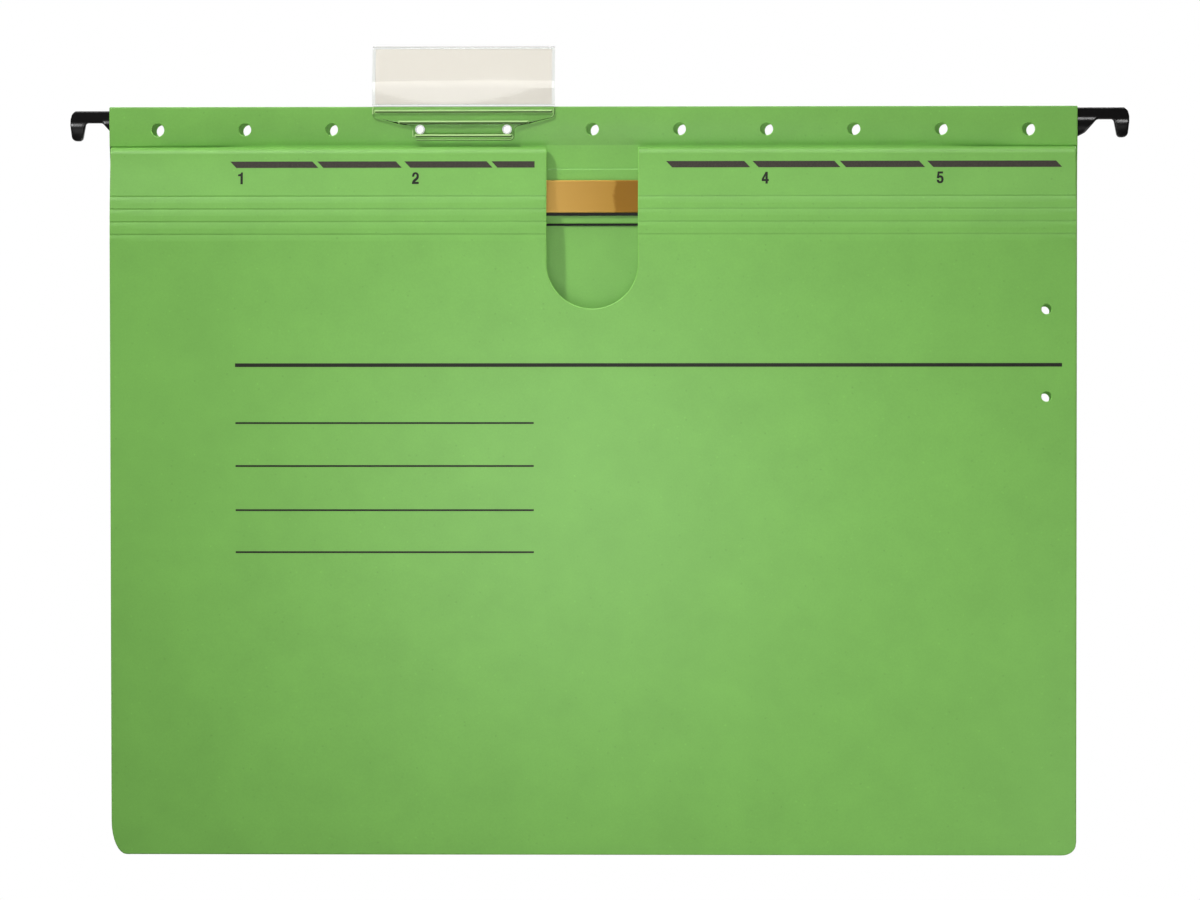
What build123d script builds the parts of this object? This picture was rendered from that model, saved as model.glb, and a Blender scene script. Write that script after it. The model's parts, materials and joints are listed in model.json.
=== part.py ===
from build123d import *
import os
from math import cos, radians, sin, sqrt, tan

os.makedirs("parts", exist_ok=True)

# Hanging file with a top-hinged cover, a two-prong fastener and a clear index tab.
# X runs along the rail, Y from the front to the back, Z up. The origin lies midway between
# the two hooks, on the plane of their seats and in the middle plane of the rail.

# Board sheets, as wide as the span of the hooks leaves room for
hook_span = 348.0
hook_show = 15.0  # how far each hook stands out when the board hangs in the middle
board_t = 0.4
board_width = hook_span - 2 * hook_show
board_height = 245.7
board_shift = -2.0  # the board hangs this far from the middle of the rail
hem_rise = 5.0  # top of the hem above the hook seats
hem_straight_drop = 11.2  # straight part of the hem's front ply, measured from the hem's top
hem_close_drop = 14.6  # where the front ply reaches the rear cover
hem_end_drop = 24.0  # lower edge of the front ply
left_corner_width = 5.0
left_corner_height = 11.0
right_corner_width = 4.6
right_corner_height = 3.6

# Holes that take the studs of an index tab
tab_hole_r = 2.05
tab_hole_pitch = 28.6
tab_hole_drop = 7.5
tab_hole_margin = 8.0  # least distance from a hole's centre to the board's side
side_hole_r = 1.65
side_hole_inset = 10.4
side_hole_drop = 66.6

# Front cover
cover_inset = 0.6  # the cover is this much shorter than the hem at each end
fold_drop = 13.3  # top of the cover's fold below the hem's top
fold_r = 2.6  # outside radius of the half-round spine
flap_end_drop = 38.4
flap_slot_drop = 20.4
cut_width = 30.0
cut_drop = 66.3
crease_drop = 16.3  # first crease below the fold
crease_pitch = 4.17
crease_gap_count = 3
cover_bulge = 3.5  # how far the panel hangs in front of the fold

# Rail and hooks
rail_t = 0.8
rail_height = 4.2
rail_clearance = 0.1
tongue_height = 2.4
tongue_end_inset = 14.0  # end of the rail's tongue, from the hook's outer end
hook_length = 24.0
arm_height = 4.0
arm_t = 1.6
arm_end_width = 1.6
gusset_t = 2.0
gusset_width = 6.0
gusset_depth = 5.6
gusset_belly = 0.4  # how far the gusset's edge swells out past a straight line
tip_t = 3.0
tip_width = 4.9
tip_depth = 5.9
tip_root_r = 0.9
tip_end_r = 1.2
tip_taper = 0.8  # how much each side of the tip draws in
notch_width = 5.5
hem_clearance = 0.15
hook_edge = 0.3

# Fastener
prong_t = 0.4
prong_width = 5.0
prong_pitch = 80.0
prong_fold = 23.0
base_length = 96.0
bar_length = 100.0
bar_t = 0.4
bar_depth = 1.4
bar_height = 10.7
bar_drop = 24.2
bar_slot_clearance = 0.4
base_show = 1.0  # how far the prong strip shows under the bar
backing_length = 110.0
backing_show = 0.8  # how far the backing strip shows under the flap
backing_gap = 0.3

# Index tab and its label
tab_t = 0.6
tab_width = 60.0
tab_rise = 20.0
tab_foot_gap = 0.1
tab_floor_t = 0.5
tab_bend_rise = 7.2
tab_bend_r = 7.0
tab_lean_deg = 20.0
tab_seat_gap = 0.05
tab_place_share = -1.5  # the tab's middle from the middle hole, in hole pitches
pocket_gap = 0.6
label_t = 0.25
label_width = 58.0
label_end_gap = 0.2
flange_full_drop = 3.5
flange_taper_drop = 6.7
flange_drop = 11.2
tongue_width = 33.5
flange_corner_r = 1.6
flange_rib_height = 0.5
flange_rib_proud = 0.25
flange_rib_inset = 1.0
flange_rib_drop_shares = (0.14, 0.46, 0.86)
stud_r = 1.5
stud_bore_r = 1.2
stud_lip_r = 1.8
stud_lip_length = 0.5

# Reach of every cutting body past the board
cut_reach = 30.0

# Places worked out from the sizes above
hem_half = gusset_t / 2 + hem_clearance
hem_r = hem_half + board_t
hem_center_z = hem_rise - hem_r
board_bottom_z = hem_rise - board_height
board_left = board_shift - board_width / 2
board_right = board_shift + board_width / 2
cover_left = board_left + cover_inset
cover_right = board_right - cover_inset
cut_left = board_shift - cut_width / 2
cut_right = board_shift + cut_width / 2
flap_rear_y = hem_half - board_t
flap_front_y = flap_rear_y - board_t
fold_center_y = flap_rear_y - fold_r
fold_top_z = hem_rise - fold_drop
fold_z = fold_top_z - fold_r
strip_y = fold_center_y - fold_r
panel_y = strip_y - cover_bulge
tab_hole_z = hem_rise - tab_hole_drop
tab_holes_each_side = int((board_width / 2 - tab_hole_margin) / tab_hole_pitch)
side_hole_x = board_right - side_hole_inset
base_front_y = flap_front_y - prong_t
bar_front_y = base_front_y - bar_depth
bar_top_z = hem_rise - bar_drop
bar_bottom_z = bar_top_z - bar_height
bar_mid_z = (bar_top_z + bar_bottom_z) / 2


def rear_face(front, thickness):
    """Return the rear points of a sheet drawn downwards by its front points, mitred at each turn."""
    points = [Vector(*point) for point in front]
    runs = [(after - before).normalized() for before, after in zip(points, points[1:])]
    normals = [Vector(-run.Y, run.X) for run in runs]
    rear = []
    for point, above, below in zip(points, normals[:1] + normals, normals + normals[-1:]):
        middle = (above + below).normalized()
        rear.append(point + middle * (thickness / middle.dot(above)))
    return [(point.X, point.Y) for point in rear]


def sheet_outline(left, right):
    """Return the front view of a board sheet, with its two lower corners rounded."""
    with BuildSketch(Plane.XZ) as outline:
        with BuildLine():
            Polyline(
                (left, board_bottom_z + left_corner_height),
                (left, hem_rise),
                (right, hem_rise),
                (right, board_bottom_z + right_corner_height),
            )
            EllipticalCenterArc(
                (right - right_corner_width, board_bottom_z + right_corner_height),
                right_corner_width,
                right_corner_height,
                start_angle=270,
                arc_size=90,
            )
            Line((right - right_corner_width, board_bottom_z), (left + left_corner_width, board_bottom_z))
            EllipticalCenterArc(
                (left + left_corner_width, board_bottom_z + left_corner_height),
                left_corner_width,
                left_corner_height,
                start_angle=180,
                arc_size=90,
            )
        make_face()
    return outline.sketch


rear_outline = sheet_outline(board_left, board_right)
cover_outline = sheet_outline(cover_left, cover_right)

# Two tab holes near the right edge of both covers
upper_side_hole_z = hem_rise - side_hole_drop
with BuildSketch(Plane.XZ) as side_holes:
    with Locations(
        (side_hole_x, upper_side_hole_z),
        (side_hole_x, upper_side_hole_z - tab_hole_pitch),
    ):
        Circle(side_hole_r)


def save(builder, name):
    """Label a finished piece and write it."""
    builder.part.label = name
    export_step(builder.part, f"parts/{name}.step")


# Rear cover: one sheet, folded over the rail and glued to itself under the holes
hem_front = [
    (-hem_r, hem_center_z),
    (-hem_r, hem_rise - hem_straight_drop),
    (flap_rear_y, hem_rise - hem_close_drop),
    (flap_rear_y, hem_rise - hem_end_drop),
]
hem_inside = rear_face(hem_front, board_t)

with BuildPart() as rear_cover:
    with BuildSketch(Plane.YZ.offset(board_left)):
        with BuildLine():
            Polyline(*hem_front, hem_inside[-1], (hem_half, board_bottom_z), (hem_r, board_bottom_z))
            Line((hem_r, board_bottom_z), (hem_r, hem_center_z))
            CenterArc((0, hem_center_z), hem_r, 0, 180)
        make_face()
        with BuildLine():
            Polyline(*hem_inside[:3], (hem_half, hem_center_z))
            CenterArc((0, hem_center_z), hem_half, 0, 180)
        make_face(mode=Mode.SUBTRACT)
    extrude(amount=board_width)
    extrude(rear_outline, amount=cut_reach, both=True, mode=Mode.INTERSECT)
    with BuildSketch(Plane.XZ):
        with Locations((board_shift, tab_hole_z)):
            with GridLocations(tab_hole_pitch, tab_hole_pitch, 2 * tab_holes_each_side + 1, 1):
                Circle(tab_hole_r)
    extrude(amount=cut_reach, both=True, mode=Mode.SUBTRACT)
    extrude(side_holes.sketch, amount=cut_reach, both=True, mode=Mode.SUBTRACT)
save(rear_cover, "rear_cover")

# Flap and half-round spine of the front cover; the thumb cut runs over the fold into the flap
with BuildPart() as spine_flap:
    with BuildSketch(Plane.YZ.offset(cover_left)):
        with BuildLine():
            CenterArc((fold_center_y, fold_z), fold_r, 0, 180)
            Line((strip_y, fold_z), (strip_y + board_t, fold_z))
            CenterArc((fold_center_y, fold_z), fold_r - board_t, 0, 180)
            Polyline(
                (flap_front_y, fold_z),
                (flap_front_y, hem_rise - flap_end_drop),
                (flap_rear_y, hem_rise - flap_end_drop),
                (flap_rear_y, fold_z),
            )
        make_face()
    extrude(amount=cover_right - cover_left)
    with BuildSketch(Plane.XZ):
        with Locations((board_shift, hem_rise - flap_slot_drop)):
            Rectangle(cut_width, cut_reach, align=(Align.CENTER, Align.MIN))
    extrude(amount=cut_reach, both=True, mode=Mode.SUBTRACT)
save(spine_flap, "spine_flap")

# Front face of the cover from the fold to the lower edge: the scale strip leans forwards, and each
# crease takes away an equal share of that lean, so that the panel hangs straight
strip_runs = [fold_z - (fold_top_z - crease_drop)] + [crease_pitch] * crease_gap_count
lean_shares = [1 - step / len(strip_runs) for step in range(len(strip_runs))]
lean = cover_bulge / sum(run * share for run, share in zip(strip_runs, lean_shares))
cover_front = [(strip_y, fold_z)]
for run, share in zip(strip_runs, lean_shares):
    above_y, above_z = cover_front[-1]
    cover_front.append((above_y - lean * share * run, above_z - run))
cover_front.append((panel_y, board_bottom_z))
cover_rear = rear_face(cover_front, board_t)

# Strips of the cover beside the thumb cut: the scale strip, then the strips between the creases
strip_names = ("scale_strip", "crease_strip_upper", "crease_strip_middle", "crease_strip_lower")
strip_sides = (("left", cover_left, cut_left), ("right", cut_right, cover_right))
for index, strip_name in enumerate(strip_names):
    for side, x_from, x_to in strip_sides:
        with BuildPart() as strip:
            with BuildSketch(Plane.YZ.offset(x_from)):
                with BuildLine():
                    Polyline(
                        cover_front[index],
                        cover_front[index + 1],
                        cover_rear[index + 1],
                        cover_rear[index],
                        close=True,
                    )
                make_face()
            extrude(amount=x_to - x_from)
        save(strip, f"{strip_name}_{side}")

# Large panel of the cover, with the round end of the thumb cut
with BuildPart() as cover_panel:
    with BuildSketch(Plane.YZ.offset(cover_left)):
        with BuildLine():
            Polyline(cover_front[-2], cover_front[-1], cover_rear[-1], cover_rear[-2], close=True)
        make_face()
    extrude(amount=cover_right - cover_left)
    extrude(cover_outline, amount=cut_reach, both=True, mode=Mode.INTERSECT)
    cut_center_z = hem_rise - cut_drop + cut_width / 2
    with BuildSketch(Plane.XZ):
        with Locations((board_shift, cut_center_z)):
            Circle(cut_width / 2)
            Rectangle(cut_width, cut_reach, align=(Align.CENTER, Align.MIN))
    extrude(amount=cut_reach, both=True, mode=Mode.SUBTRACT)
    extrude(side_holes.sketch, amount=cut_reach, both=True, mode=Mode.SUBTRACT)
save(cover_panel, "cover_panel")

# Carrier rail: a flat strip whose narrower tongues enter the hooks
hook_outer_x = hook_span / 2
hook_inner_x = hook_outer_x - hook_length
tongue_end_x = hook_outer_x - tongue_end_inset
rail_top_z = hem_center_z + sqrt(hem_half**2 - (rail_t / 2) ** 2) - rail_clearance
rail_mid_z = rail_top_z - rail_height / 2
tongue_mid_z = arm_height / 2

with BuildPart() as carrier_rail:
    with BuildSketch(Plane.XZ):
        with Locations((0, rail_mid_z)):
            Rectangle(2 * (hook_inner_x - rail_clearance), rail_height)
        with Locations((0, tongue_mid_z)):
            Rectangle(2 * tongue_end_x, tongue_height)
    extrude(amount=rail_t / 2, both=True)
save(carrier_rail, "carrier_rail")

# Hooks: an arm, a thicker gusset that runs into the hem and a thicker tip over the drawer's rail
tip_inner_x = hook_outer_x - tip_width
gusset_start_x = tip_inner_x - notch_width
gusset_foot_x = gusset_start_x - gusset_width

for hook_name, mirrored in (("right_hook", False), ("left_hook", True)):
    with BuildPart() as hook:
        with BuildSketch(Plane.XZ):
            with BuildLine():
                Line((hook_inner_x, 0), (hook_inner_x, arm_height))
                Line((hook_inner_x, arm_height), (hook_outer_x - arm_end_width, arm_height))
                EllipticalCenterArc(
                    (hook_outer_x - arm_end_width, 0),
                    arm_end_width,
                    arm_height,
                    start_angle=0,
                    arc_size=90,
                )
                Line((hook_outer_x, 0), (hook_inner_x, 0))
            make_face()
        extrude(amount=arm_t / 2, both=True)
        with BuildSketch(Plane.XZ):
            with BuildLine():
                Polyline(
                    (gusset_start_x, 0),
                    (hook_inner_x, 0),
                    (hook_inner_x, -gusset_depth),
                    (gusset_foot_x, -gusset_depth),
                )
                SagittaArc((gusset_foot_x, -gusset_depth), (gusset_start_x, 0), -gusset_belly)
            make_face()
        extrude(amount=gusset_t / 2, both=True)
        with BuildSketch(Plane.XZ) as tip:
            with BuildLine():
                CenterArc((tip_inner_x - tip_root_r, -tip_root_r), tip_root_r, 0, 90)
                Polyline(
                    (tip_inner_x - tip_root_r, 0),
                    (hook_outer_x, 0),
                    (hook_outer_x - tip_taper, -tip_depth),
                    (tip_inner_x + tip_taper, -tip_depth),
                    (tip_inner_x, -tip_root_r),
                )
            make_face()
            fillet(tip.vertices().group_by(Axis.Y)[0], tip_end_r)
        extrude(amount=tip_t / 2, both=True)
        tip_faces = hook.faces().filter_by(Axis.Y).filter_by_position(Axis.X, tip_inner_x, hook_outer_x)
        chamfer(tip_faces.group_by(Axis.Z)[0].edges(), hook_edge)
        with BuildSketch(Plane.XZ):
            with Locations((hook_inner_x, tongue_mid_z)):
                Rectangle(
                    tongue_end_x - hook_inner_x,
                    tongue_height,
                    align=(Align.MIN, Align.CENTER),
                )
        extrude(amount=rail_t / 2, both=True, mode=Mode.SUBTRACT)
        if mirrored:
            mirror(about=Plane.YZ, mode=Mode.REPLACE)
    save(hook, hook_name)

# Prong strip: a flat base with two prongs, folded inwards over the compressor bar
prong_xs = [board_shift + sign * prong_pitch / 2 for sign in (-1, 1)]

with BuildPart() as prong_strip:
    with BuildSketch(Plane.XZ.offset(-flap_front_y)):
        with Locations((board_shift, bar_mid_z - base_show)):
            Rectangle(base_length, bar_height)
    extrude(amount=prong_t)
    for prong_x, inwards in zip(prong_xs, (1, -1)):
        with BuildSketch(Plane.XY.offset(bar_mid_z - prong_width / 2)):
            with BuildLine():
                outer_x = prong_x - inwards * prong_t / 2
                inner_x = prong_x + inwards * prong_t / 2
                Polyline(
                    (outer_x, base_front_y),
                    (outer_x, bar_front_y - prong_t),
                    (prong_x + inwards * prong_fold, bar_front_y - prong_t),
                    (prong_x + inwards * prong_fold, bar_front_y),
                    (inner_x, bar_front_y),
                    (inner_x, base_front_y),
                    close=True,
                )
            make_face()
        extrude(amount=prong_width)
save(prong_strip, "prong_strip")

# Compressor bar: a shallow channel that the prongs pass through
with BuildPart() as compressor_bar:
    with BuildSketch(Plane.YZ.offset(board_shift)):
        with Locations((bar_front_y, bar_mid_z)):
            Rectangle(bar_depth, bar_height, align=(Align.MIN, Align.CENTER))
        with Locations((bar_front_y + bar_t, bar_mid_z)):
            Rectangle(
                bar_depth,
                bar_height - 2 * bar_t,
                align=(Align.MIN, Align.CENTER),
                mode=Mode.SUBTRACT,
            )
    extrude(amount=bar_length / 2, both=True)
    front_edges = compressor_bar.edges().filter_by(Axis.X).group_by(Axis.Y)[0]
    fillet(front_edges, bar_t)
    with BuildSketch(Plane.XZ):
        with Locations(*[(prong_x, bar_mid_z) for prong_x in prong_xs]):
            Rectangle(prong_t + 2 * bar_slot_clearance, prong_width + 2 * bar_slot_clearance)
    extrude(amount=cut_reach, both=True, mode=Mode.SUBTRACT)
save(compressor_bar, "compressor_bar")

# Backing strip between the flap and the rear cover, under the end of the hem's front ply
backing_top_z = hem_rise - hem_end_drop - backing_gap
backing_bottom_z = hem_rise - flap_end_drop - backing_show

with BuildPart() as backing_strip:
    with BuildSketch(Plane.XZ.offset(-hem_half)):
        with Locations((board_shift, backing_top_z)):
            Rectangle(
                backing_length,
                backing_top_z - backing_bottom_z,
                align=(Align.CENTER, Align.MAX),
            )
    extrude(amount=board_t)
save(backing_strip, "backing_strip")

# Index tab: a flange on the hem, two hollow studs and a bent pocket that stands above the hem
tab_x = board_shift + tab_place_share * tab_hole_pitch
tab_rear_y = -hem_r - tab_seat_gap
tab_front_y = tab_rear_y - tab_t
pocket_y = tab_rear_y + pocket_gap / 2
pocket_half = pocket_gap / 2 + tab_t
tab_foot_z = hem_rise + tab_foot_gap
tab_floor_z = tab_foot_z + tab_floor_t
tab_bend_z = hem_rise + tab_bend_rise
tab_top_z = hem_rise + tab_rise - pocket_half * sin(radians(tab_lean_deg))
pocket_top_z = tab_top_z - tab_t * cos(radians(tab_lean_deg))
stud_xs = [tab_x + sign * tab_hole_pitch / 2 for sign in (-1, 1)]
stud_end_y = hem_r + stud_lip_length


def bent_band(low_z, high_z, width):
    """Draw the side view of a band that stands up, bends back and is as wide as given."""
    with BuildLine() as middle:
        FilletPolyline(
            (pocket_y, low_z),
            (pocket_y, tab_bend_z),
            (pocket_y + (high_z - tab_bend_z) * tan(radians(tab_lean_deg)), high_z),
            radius=tab_bend_r,
        )
    trace(middle.line, line_width=width)


def flange_half_width(drop):
    """Return half the flange's width at a place below the hem's top."""
    taper = (drop - flange_full_drop) / (flange_taper_drop - flange_full_drop)
    return (tab_width + (tongue_width - tab_width) * min(max(taper, 0), 1)) / 2


with BuildPart() as index_tab:
    with BuildSketch(Plane.YZ.offset(tab_x)):
        bent_band(tab_foot_z, tab_top_z, 2 * pocket_half)
    extrude(amount=tab_width / 2, both=True)
    with BuildSketch(Plane.YZ.offset(tab_x)):
        bent_band(tab_floor_z, pocket_top_z, pocket_gap)
    extrude(amount=tab_width, both=True, mode=Mode.SUBTRACT)
    with BuildSketch(Plane.XZ.offset(-tab_rear_y)) as flange:
        with BuildLine():
            Polyline(
                (tab_x - tab_width / 2, tab_floor_z),
                (tab_x - tab_width / 2, hem_rise - flange_full_drop),
                (tab_x - tongue_width / 2, hem_rise - flange_taper_drop),
                (tab_x - tongue_width / 2, hem_rise - flange_drop),
                (tab_x + tongue_width / 2, hem_rise - flange_drop),
                (tab_x + tongue_width / 2, hem_rise - flange_taper_drop),
                (tab_x + tab_width / 2, hem_rise - flange_full_drop),
                (tab_x + tab_width / 2, tab_floor_z),
                close=True,
            )
        make_face()
        fillet(flange.vertices().group_by(Axis.Z)[0], flange_corner_r)
    extrude(amount=tab_t)
    for share in flange_rib_drop_shares:
        rib_drop = flange_drop * share
        rib_width = 2 * (flange_half_width(rib_drop + flange_rib_height / 2) - flange_rib_inset)
        with BuildSketch(Plane.XZ.offset(-tab_front_y)):
            with Locations((tab_x, hem_rise - rib_drop)):
                Rectangle(rib_width, flange_rib_height)
        extrude(amount=flange_rib_proud)
    with BuildSketch(Plane.XZ.offset(-tab_rear_y)):
        with Locations(*[(stud_x, tab_hole_z) for stud_x in stud_xs]):
            Circle(stud_r)
    extrude(amount=tab_rear_y - stud_end_y)
    with BuildSketch(Plane.XZ.offset(-hem_r)):
        with Locations(*[(stud_x, tab_hole_z) for stud_x in stud_xs]):
            Circle(stud_lip_r)
    extrude(amount=-stud_lip_length)
    with BuildSketch(Plane.XZ):
        with Locations(*[(stud_x, tab_hole_z) for stud_x in stud_xs]):
            Circle(stud_bore_r)
    extrude(amount=cut_reach, both=True, mode=Mode.SUBTRACT)
save(index_tab, "index_tab")

# Label in the tab's pocket
with BuildPart() as tab_label:
    with BuildSketch(Plane.YZ.offset(tab_x)):
        bent_band(tab_floor_z + label_end_gap, pocket_top_z - label_end_gap, label_t)
    extrude(amount=label_width / 2, both=True)
save(tab_label, "tab_label")
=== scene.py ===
"""Hanging file folder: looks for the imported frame.

The board sheets are folded from flat outlines, so that each piece of board is a closed sheet of even
thickness with real folds, creases and holes. The hooks are moulded from an outline, and the rest keeps the
shape of its solid, with softened edges. Lengths are in millimetres until a mesh is made, apart from the
lamps' places and sizes, which are in metres. Heights are Z, and the folder's front faces -Y.
"""

import json
import logging
import math
from bisect import bisect_right
from dataclasses import dataclass, field
from enum import Enum
from typing import Any, Callable, Iterable, Optional, Sequence

import bmesh
import bpy
from mathutils import Euler, Matrix, Vector
from mathutils.geometry import delaunay_2d_cdt


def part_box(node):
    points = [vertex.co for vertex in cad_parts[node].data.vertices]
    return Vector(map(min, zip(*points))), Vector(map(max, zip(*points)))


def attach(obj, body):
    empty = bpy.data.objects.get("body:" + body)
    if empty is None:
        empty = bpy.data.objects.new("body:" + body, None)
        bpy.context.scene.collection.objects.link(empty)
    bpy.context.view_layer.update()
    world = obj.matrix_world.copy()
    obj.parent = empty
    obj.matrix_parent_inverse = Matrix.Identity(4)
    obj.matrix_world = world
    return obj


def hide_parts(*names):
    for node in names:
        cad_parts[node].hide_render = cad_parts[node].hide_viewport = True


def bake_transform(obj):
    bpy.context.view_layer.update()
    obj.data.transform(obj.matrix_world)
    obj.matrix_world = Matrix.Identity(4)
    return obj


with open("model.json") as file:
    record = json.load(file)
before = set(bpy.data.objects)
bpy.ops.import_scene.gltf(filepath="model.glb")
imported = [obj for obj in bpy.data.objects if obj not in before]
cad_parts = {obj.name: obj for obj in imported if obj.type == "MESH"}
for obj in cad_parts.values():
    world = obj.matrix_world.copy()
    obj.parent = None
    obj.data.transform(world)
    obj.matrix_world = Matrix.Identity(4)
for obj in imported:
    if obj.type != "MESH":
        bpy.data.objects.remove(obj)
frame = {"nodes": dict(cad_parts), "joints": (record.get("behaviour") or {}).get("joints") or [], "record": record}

LOG = logging.getLogger("file_folder")
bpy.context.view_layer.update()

Flat = tuple[float, float]
Triple = tuple[float, float, float]
Loop = list[Flat]
Filling = tuple[list[Vector], list[list[int]], list[list[int]]]
Relief = Callable[[float, float], float]
Socket = bpy.types.NodeSocket
Piece = bpy.types.Object
Shape = bmesh.types.BMesh
Verts = list[bmesh.types.BMVert]

MM = 0.001
TINY = 1e-6  # lengths below this count as none
QUARTER_TURN = math.pi / 2
TAB_PLAY = 0.5  # mm, how far to the right the tab sits within the play of its studs
HOLES_APART = 4  # holes from the first tab position to the third

# How sRGB stores light: a straight foot up to the knee, and a power above it.
BYTE_TOP = 255
SRGB_KNEE = 0.04045
SRGB_FOOT = 12.92
SRGB_LIFT = 0.055
SRGB_POWER = 2.4

# The colour sockets of a mix node, and the depth that tells rays without a matt bounce from the others.
MIX_FIRST, MIX_SECOND, MIX_RESULT = 6, 7, 2
NO_BOUNCE = 0.5
WHITE = "#FFFFFF"
IOR = 1.5  # of plastic, paper, ink and lacquer alike

# Edges that turn more than this stay sharp: of folded board, of softened solids and of mouldings.
FOLD_SHARP_DEG = 22.0
SOLID_SHARP_DEG = 12.0
MOULD_SHARP_DEG = 50.0
ROUNDED_DEG = 30.0  # a solid's edges that turn more than this are rounded
FLAT_ANGLE = 0.01  # radians, faces that turn less than this are one face
ROUND_PROFILE = 0.5
QUAD = 4

# How flat outlines are handled: steps of a halving search, the share of an edge where no point is added
# beside its ends, and the sine of a turn that counts as straight.
HALVINGS = 40
END_SHARE = 0.002
STRAIGHT = 0.05
EDGE_FINISH = 1  # the second material of a sheet


class Body(Enum):
    """The bodies of the frame that pieces move with."""

    RAIL = "rail"
    BACK = "back"
    SCALE = "scale_strips"
    UPPER = "upper_crease_strips"
    MIDDLE = "middle_crease_strips"
    LOWER = "lower_crease_strips"
    COVER = "cover"
    TAB = "tab"
    LABEL = "label"


class Slot(Enum):
    """The material slots of the record."""

    BOARD = "green_board"
    HOOK = "hook_plastic"
    STEEL = "rail_steel"
    GOLD = "gold_lacquer"
    PRONG = "black_steel"
    FIBRE = "black_fibre"
    CLEAR = "clear_plastic"
    PAPER = "label_paper"


def linear(colour: str) -> tuple[float, float, float, float]:
    """Turn an sRGB hex colour into a linear one.

    Args:
        colour: the colour as #RRGGBB.

    Returns:
        Red, green, blue and alpha, linear.
    """
    parts = [part / BYTE_TOP for part in bytes.fromhex(colour[1:])]
    red, green, blue = (part / SRGB_FOOT if part <= SRGB_KNEE
                        else ((part + SRGB_LIFT) / (1 + SRGB_LIFT)) ** SRGB_POWER for part in parts)
    return red, green, blue, 1.0


def per_metre(size: float) -> float:
    """Give the scale of a pattern whose features are so many millimetres across."""
    return 1 / (size * MM)


class Graph:
    """The node tree of a material or a world while it is wired."""

    def __init__(self, owner: bpy.types.ID, output: str) -> None:
        """Clear the tree and add its output.

        Args:
            owner: the material or world.
            output: the type of its output node.
        """
        owner.use_nodes = True
        self.tree = owner.node_tree
        self.tree.nodes.clear()
        self.surface = self.add(output).inputs["Surface"]

    def add(self, kind: str, inputs: Optional[dict[Any, Any]] = None, **settings: Any) -> bpy.types.Node:
        """Add one node.

        Args:
            kind: the node's type.
            inputs: for an input's name or number, the socket that it is linked from, or its value.
            settings: the node's own settings.

        Returns:
            The new node.
        """
        node = self.tree.nodes.new(kind)
        for name, value in settings.items():
            setattr(node, name, value)
        for key, value in (inputs or {}).items():
            if isinstance(value, Socket):
                self.tree.links.new(value, node.inputs[key])
            else:
                node.inputs[key].default_value = value
        return node

    def show(self, shader: bpy.types.Node) -> None:
        """Show a shader as the surface."""
        self.tree.links.new(shader.outputs[0], self.surface)

    def calc(self, operation: str, *values: Any) -> Socket:
        """Add a math node and give its result."""
        return self.add("ShaderNodeMath", dict(enumerate(values)), operation=operation).outputs[0]

    def grade(self, value: Socket, source: Flat = (0.0, 1.0), target: Flat = (0.0, 1.0),
              smooth: bool = False) -> Socket:
        """Map a value from one range to another.

        Args:
            value: the value.
            source: the range that it comes from.
            target: the range that it goes to.
            smooth: whether it starts and ends gently.

        Returns:
            The mapped value.
        """
        ends = dict(zip(("From Min", "From Max", "To Min", "To Max"), source + target))
        ease = "SMOOTHSTEP" if smooth else "LINEAR"
        return self.add("ShaderNodeMapRange", {"Value": value, **ends}, interpolation_type=ease).outputs[0]

    def axis(self, vector: Socket, name: str) -> Socket:
        """Give one coordinate of a vector, or one channel of a colour."""
        return self.add("ShaderNodeSeparateXYZ", {"Vector": vector}).outputs[name]

    def place_by(self, kind: str) -> Socket:
        """Give the place or direction that patterns follow."""
        return self.add("ShaderNodeTexCoord").outputs[kind]

    def ray(self, kind: str) -> Socket:
        """Tell whether, or how, a ray of some kind meets the surface."""
        return self.add("ShaderNodeLightPath").outputs[kind]

    def mix(self, share: Socket, first: Any, second: Any) -> Socket:
        """Mix two colours."""
        colours = {0: share, MIX_FIRST: first, MIX_SECOND: second}
        return self.add("ShaderNodeMix", colours, data_type="RGBA").outputs[MIX_RESULT]

    def mix_shaders(self, share: Socket, first: bpy.types.Node, second: bpy.types.Node) -> bpy.types.Node:
        """Mix two shaders."""
        return self.add("ShaderNodeMixShader", {0: share, 1: first.outputs[0], 2: second.outputs[0]})

    def mirrored(self) -> Socket:
        """Give 1 for rays by way of shiny and clear pieces alone, and 0 for the others."""
        sent = self.calc("MAXIMUM", self.ray("Is Glossy Ray"), self.ray("Is Transmission Ray"))
        return self.calc("MULTIPLY", sent, self.calc("LESS_THAN", self.ray("Diffuse Depth"), NO_BOUNCE))


@dataclass(frozen=True)
class Grain:
    """A noise pattern: its size in mm, detail, the levels that it gives, and its stretch along X."""

    size: float
    detail: float
    levels: Flat = (0.0, 1.0)
    source: Flat = (0.3, 0.7)
    roughness: float = 0.5
    stretch: float = 1.0


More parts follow.
